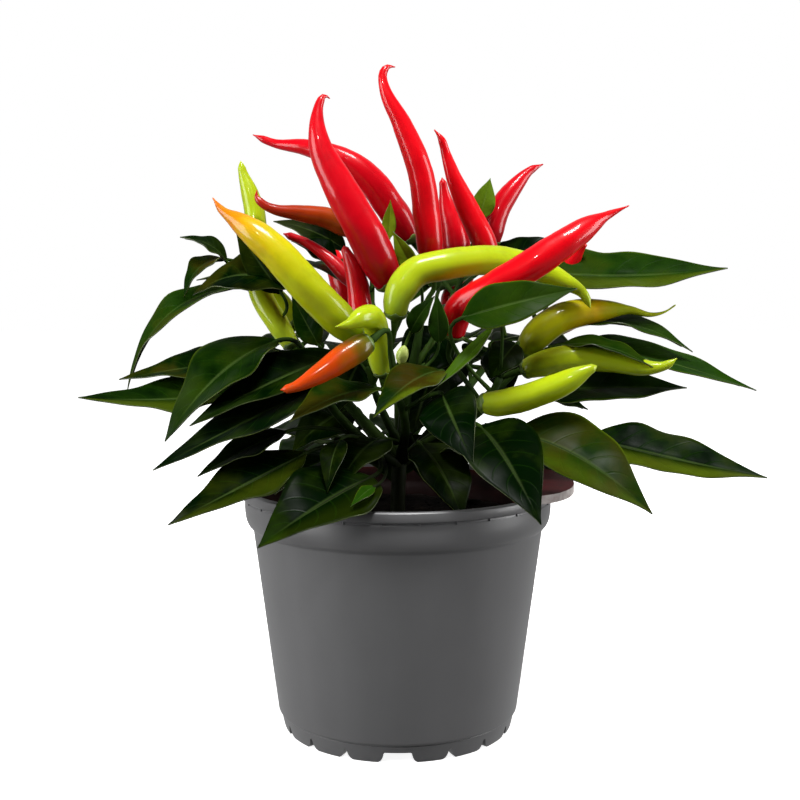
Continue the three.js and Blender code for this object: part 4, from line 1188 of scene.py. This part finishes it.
def makeStems():
    lines = []
    shares = np.linspace(0, 1, 26)
    # a little thicker at the nodes
    knots = 1 + stemSettings["knotSwell"] * np.cos(2 * np.pi * shares * stemSettings["knots"]) ** 6
    for points, start, end in forks:
        line = SmoothLine(points)
        lines.append((line.along(shares), (start + (end - start) * shares) * knots))
    lines += [midribLine(leaf, nearestStart(np.asarray(leaf[0], float))) for leaf in allLeaves]
    lines += [fruitStalkLine(points) for *_, points in fruits]
    seat = np.array(bud["foot"], float) - (0, 0, stemSettings["gap"])
    start = nearestStart(seat)
    line = SmoothLine([start, start + (seat - start) * 0.6, seat])
    lines.append((line.along(np.linspace(0, 1, 12)), np.linspace(*stemSettings["budStalk"], 12)))
    return drawTubes("stems", lines, 4)


def stemSkin():
    material, tree, shader = newMaterial("green_stem")
    streaks = speckle(tree, 90, 3.0, 0.6, (1, 1, 0.25))
    spots = between(tree, speckle(tree, 300, 2.0), 0.6, 0.75)
    colour = colourSteps(tree, streaks, [
        (0.32, (0.006, 0.016, 0.002)), (0.55, (0.018, 0.042, 0.004)), (0.75, (0.045, 0.085, 0.010))])
    # painted shade: nearly black low down near the soil, under the canopy
    lowShade = between(tree, objectHeight(tree), 0.1, 0.15, 1.0, 0.0)
    colour = layered(tree, colour, (times(tree, spots, 0.4), (0.03, 0.022, 0.01)),
                     (times(tree, lowShade, 0.9), (0.005, 0.005, 0.002)))
    fill(shader, colour=colour, roughness=0.6, specular=0.06)
    addBump(tree, shader, streaks, 0.3, 0.0005)
    return material


def makeBud():
    foot, tip = Vector(bud["foot"]), Vector(bud["tip"])
    length = (tip - foot).length
    rings = [(bud["radius"] * k, share * length) for share, k in bud["shares"]]
    closed = turned("closed_bud", rings, bud["sides"])
    # the five folded petals show as shallow ribs
    for vertex in closed.data.vertices:
        local = vertex.co - axis
        turn = math.atan2(local.y, local.x)
        swell = 1 - bud["folds"] * abs(math.sin(2.5 * turn + 120 * local.z)) ** 3
        vertex.co.x = axis.x + local.x * swell
        vertex.co.y = axis.y + local.y * swell
    turn = (tip - foot).to_track_quat("Z", "Y").to_matrix().to_4x4()
    closed.data.transform(Matrix.Translation(-axis))
    closed.data.transform(Matrix.Translation(place(*foot)) @ turn)
    smoothShade(closed, 60)
    return closed


stems = makeStems()
stems.data.materials.append(stemSkin())
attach(stems, "root")
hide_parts("leafy_plant")

calyxes = makeCalyxes()
calyxes.data.materials.append(plainSkin(
    "calyx_green", 150, (0.3, (0.035, 0.065, 0.008)), (0.7, (0.10, 0.16, 0.02)), (0.3, 0.0005),
    roughness=0.42))
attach(calyxes, "root")
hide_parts("leafy_plant")

closedBud = makeBud()
closedBud.data.materials.append(plainSkin(
    "bud_skin", 320, (0.3, (0.22, 0.30, 0.04)), (0.7, (0.42, 0.48, 0.12)), (0.2, 0.0003),
    roughness=0.5))
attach(closedBud, "root")
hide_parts("flower_bud")
print("stems, calyxes and bud done")


# floor and lights

floorSettings = {"size": 8, "glow": 0.88, "dull": (0.86, 0.86, 0.86), "light": (0.88, 0.88, 0.88)}


def makeFloor():
    clearSelection()
    bpy.ops.mesh.primitive_plane_add(size=floorSettings["size"], location=(0, 0, 0))
    floor = bpy.context.object
    floor.name = "floor"
    floor.data.materials.append(plainSkin(
        "pale_floor", 3, (0.3, floorSettings["dull"]), (0.7, floorSettings["light"]), detail=2.0,
        roughness=0.7, specular=0.2, glowColour=(1, 1, 1, 1), glow=floorSettings["glow"]))
    # the bright floor is for the eye only and throws no light up under the leaves
    floor.visible_diffuse = False
    floor.visible_glossy = False


lights = [
    # name, place and size in metres, power in watts
    ("left_softbox", (-0.97, -0.38, 0.3), (0.6, 0.8), 15),
    ("right_softbox", (1.0, -0.15, 0.3), (0.45, 0.8), 12.5),
    ("top_softbox", (0.1, -0.35, 1.1), (0.3, 0.3), 16),
    ("front_spot", (-0.3, -1.1, 1.0), (0.07, 0.07), 3),
]
plantMiddle = Vector((0, 0, 0.12))


def makeLights():
    for name, spot, size, power in lights:
        clearSelection()
        turn = (plantMiddle - Vector(spot)).to_track_quat("-Z", "Y").to_euler()
        bpy.ops.object.light_add(type="AREA", location=spot, rotation=turn)
        lamp = bpy.context.object
        lamp.name = name
        lamp.data.shape = "RECTANGLE"
        lamp.data.size, lamp.data.size_y = size
        lamp.data.energy = power


def makeWorld():
    world = bpy.data.worlds.new("studio")
    world.use_nodes = True
    bpy.context.scene.world = world
    tree = world.node_tree
    # a bright backdrop behind the plant, a dark room in front of it and a dim table below
    background = tree.nodes["Background"]
    background.inputs["Color"].default_value = (1, 1, 1, 1)
    view = addNode(tree, "TexCoord").outputs["Generated"]
    towards = addNode(tree, "SeparateXYZ", {0: view}).outputs
    backdrop = between(tree, towards[1], 0.1, 0.7, 0.04, 0.4)
    table = between(tree, towards[2], 0.0, -0.5, 0.0, 0.24)
    tree.links.new(plus(tree, backdrop, table), background.inputs["Strength"])
    bright = addNode(tree, "Background", {"Color": (1, 1, 1, 1), "Strength": 1.0})
    seen = addNode(tree, "LightPath").outputs["Is Camera Ray"]
    both = addNode(tree, "MixShader", {0: seen, 1: background.outputs[0], 2: bright.outputs[0]})
    tree.links.new(both.outputs[0], tree.nodes["World Output"].inputs["Surface"])


makeFloor()
makeLights()
makeWorld()
bpy.context.scene.view_settings.view_transform = "Standard"
clearSelection()
print("floor and lights done")
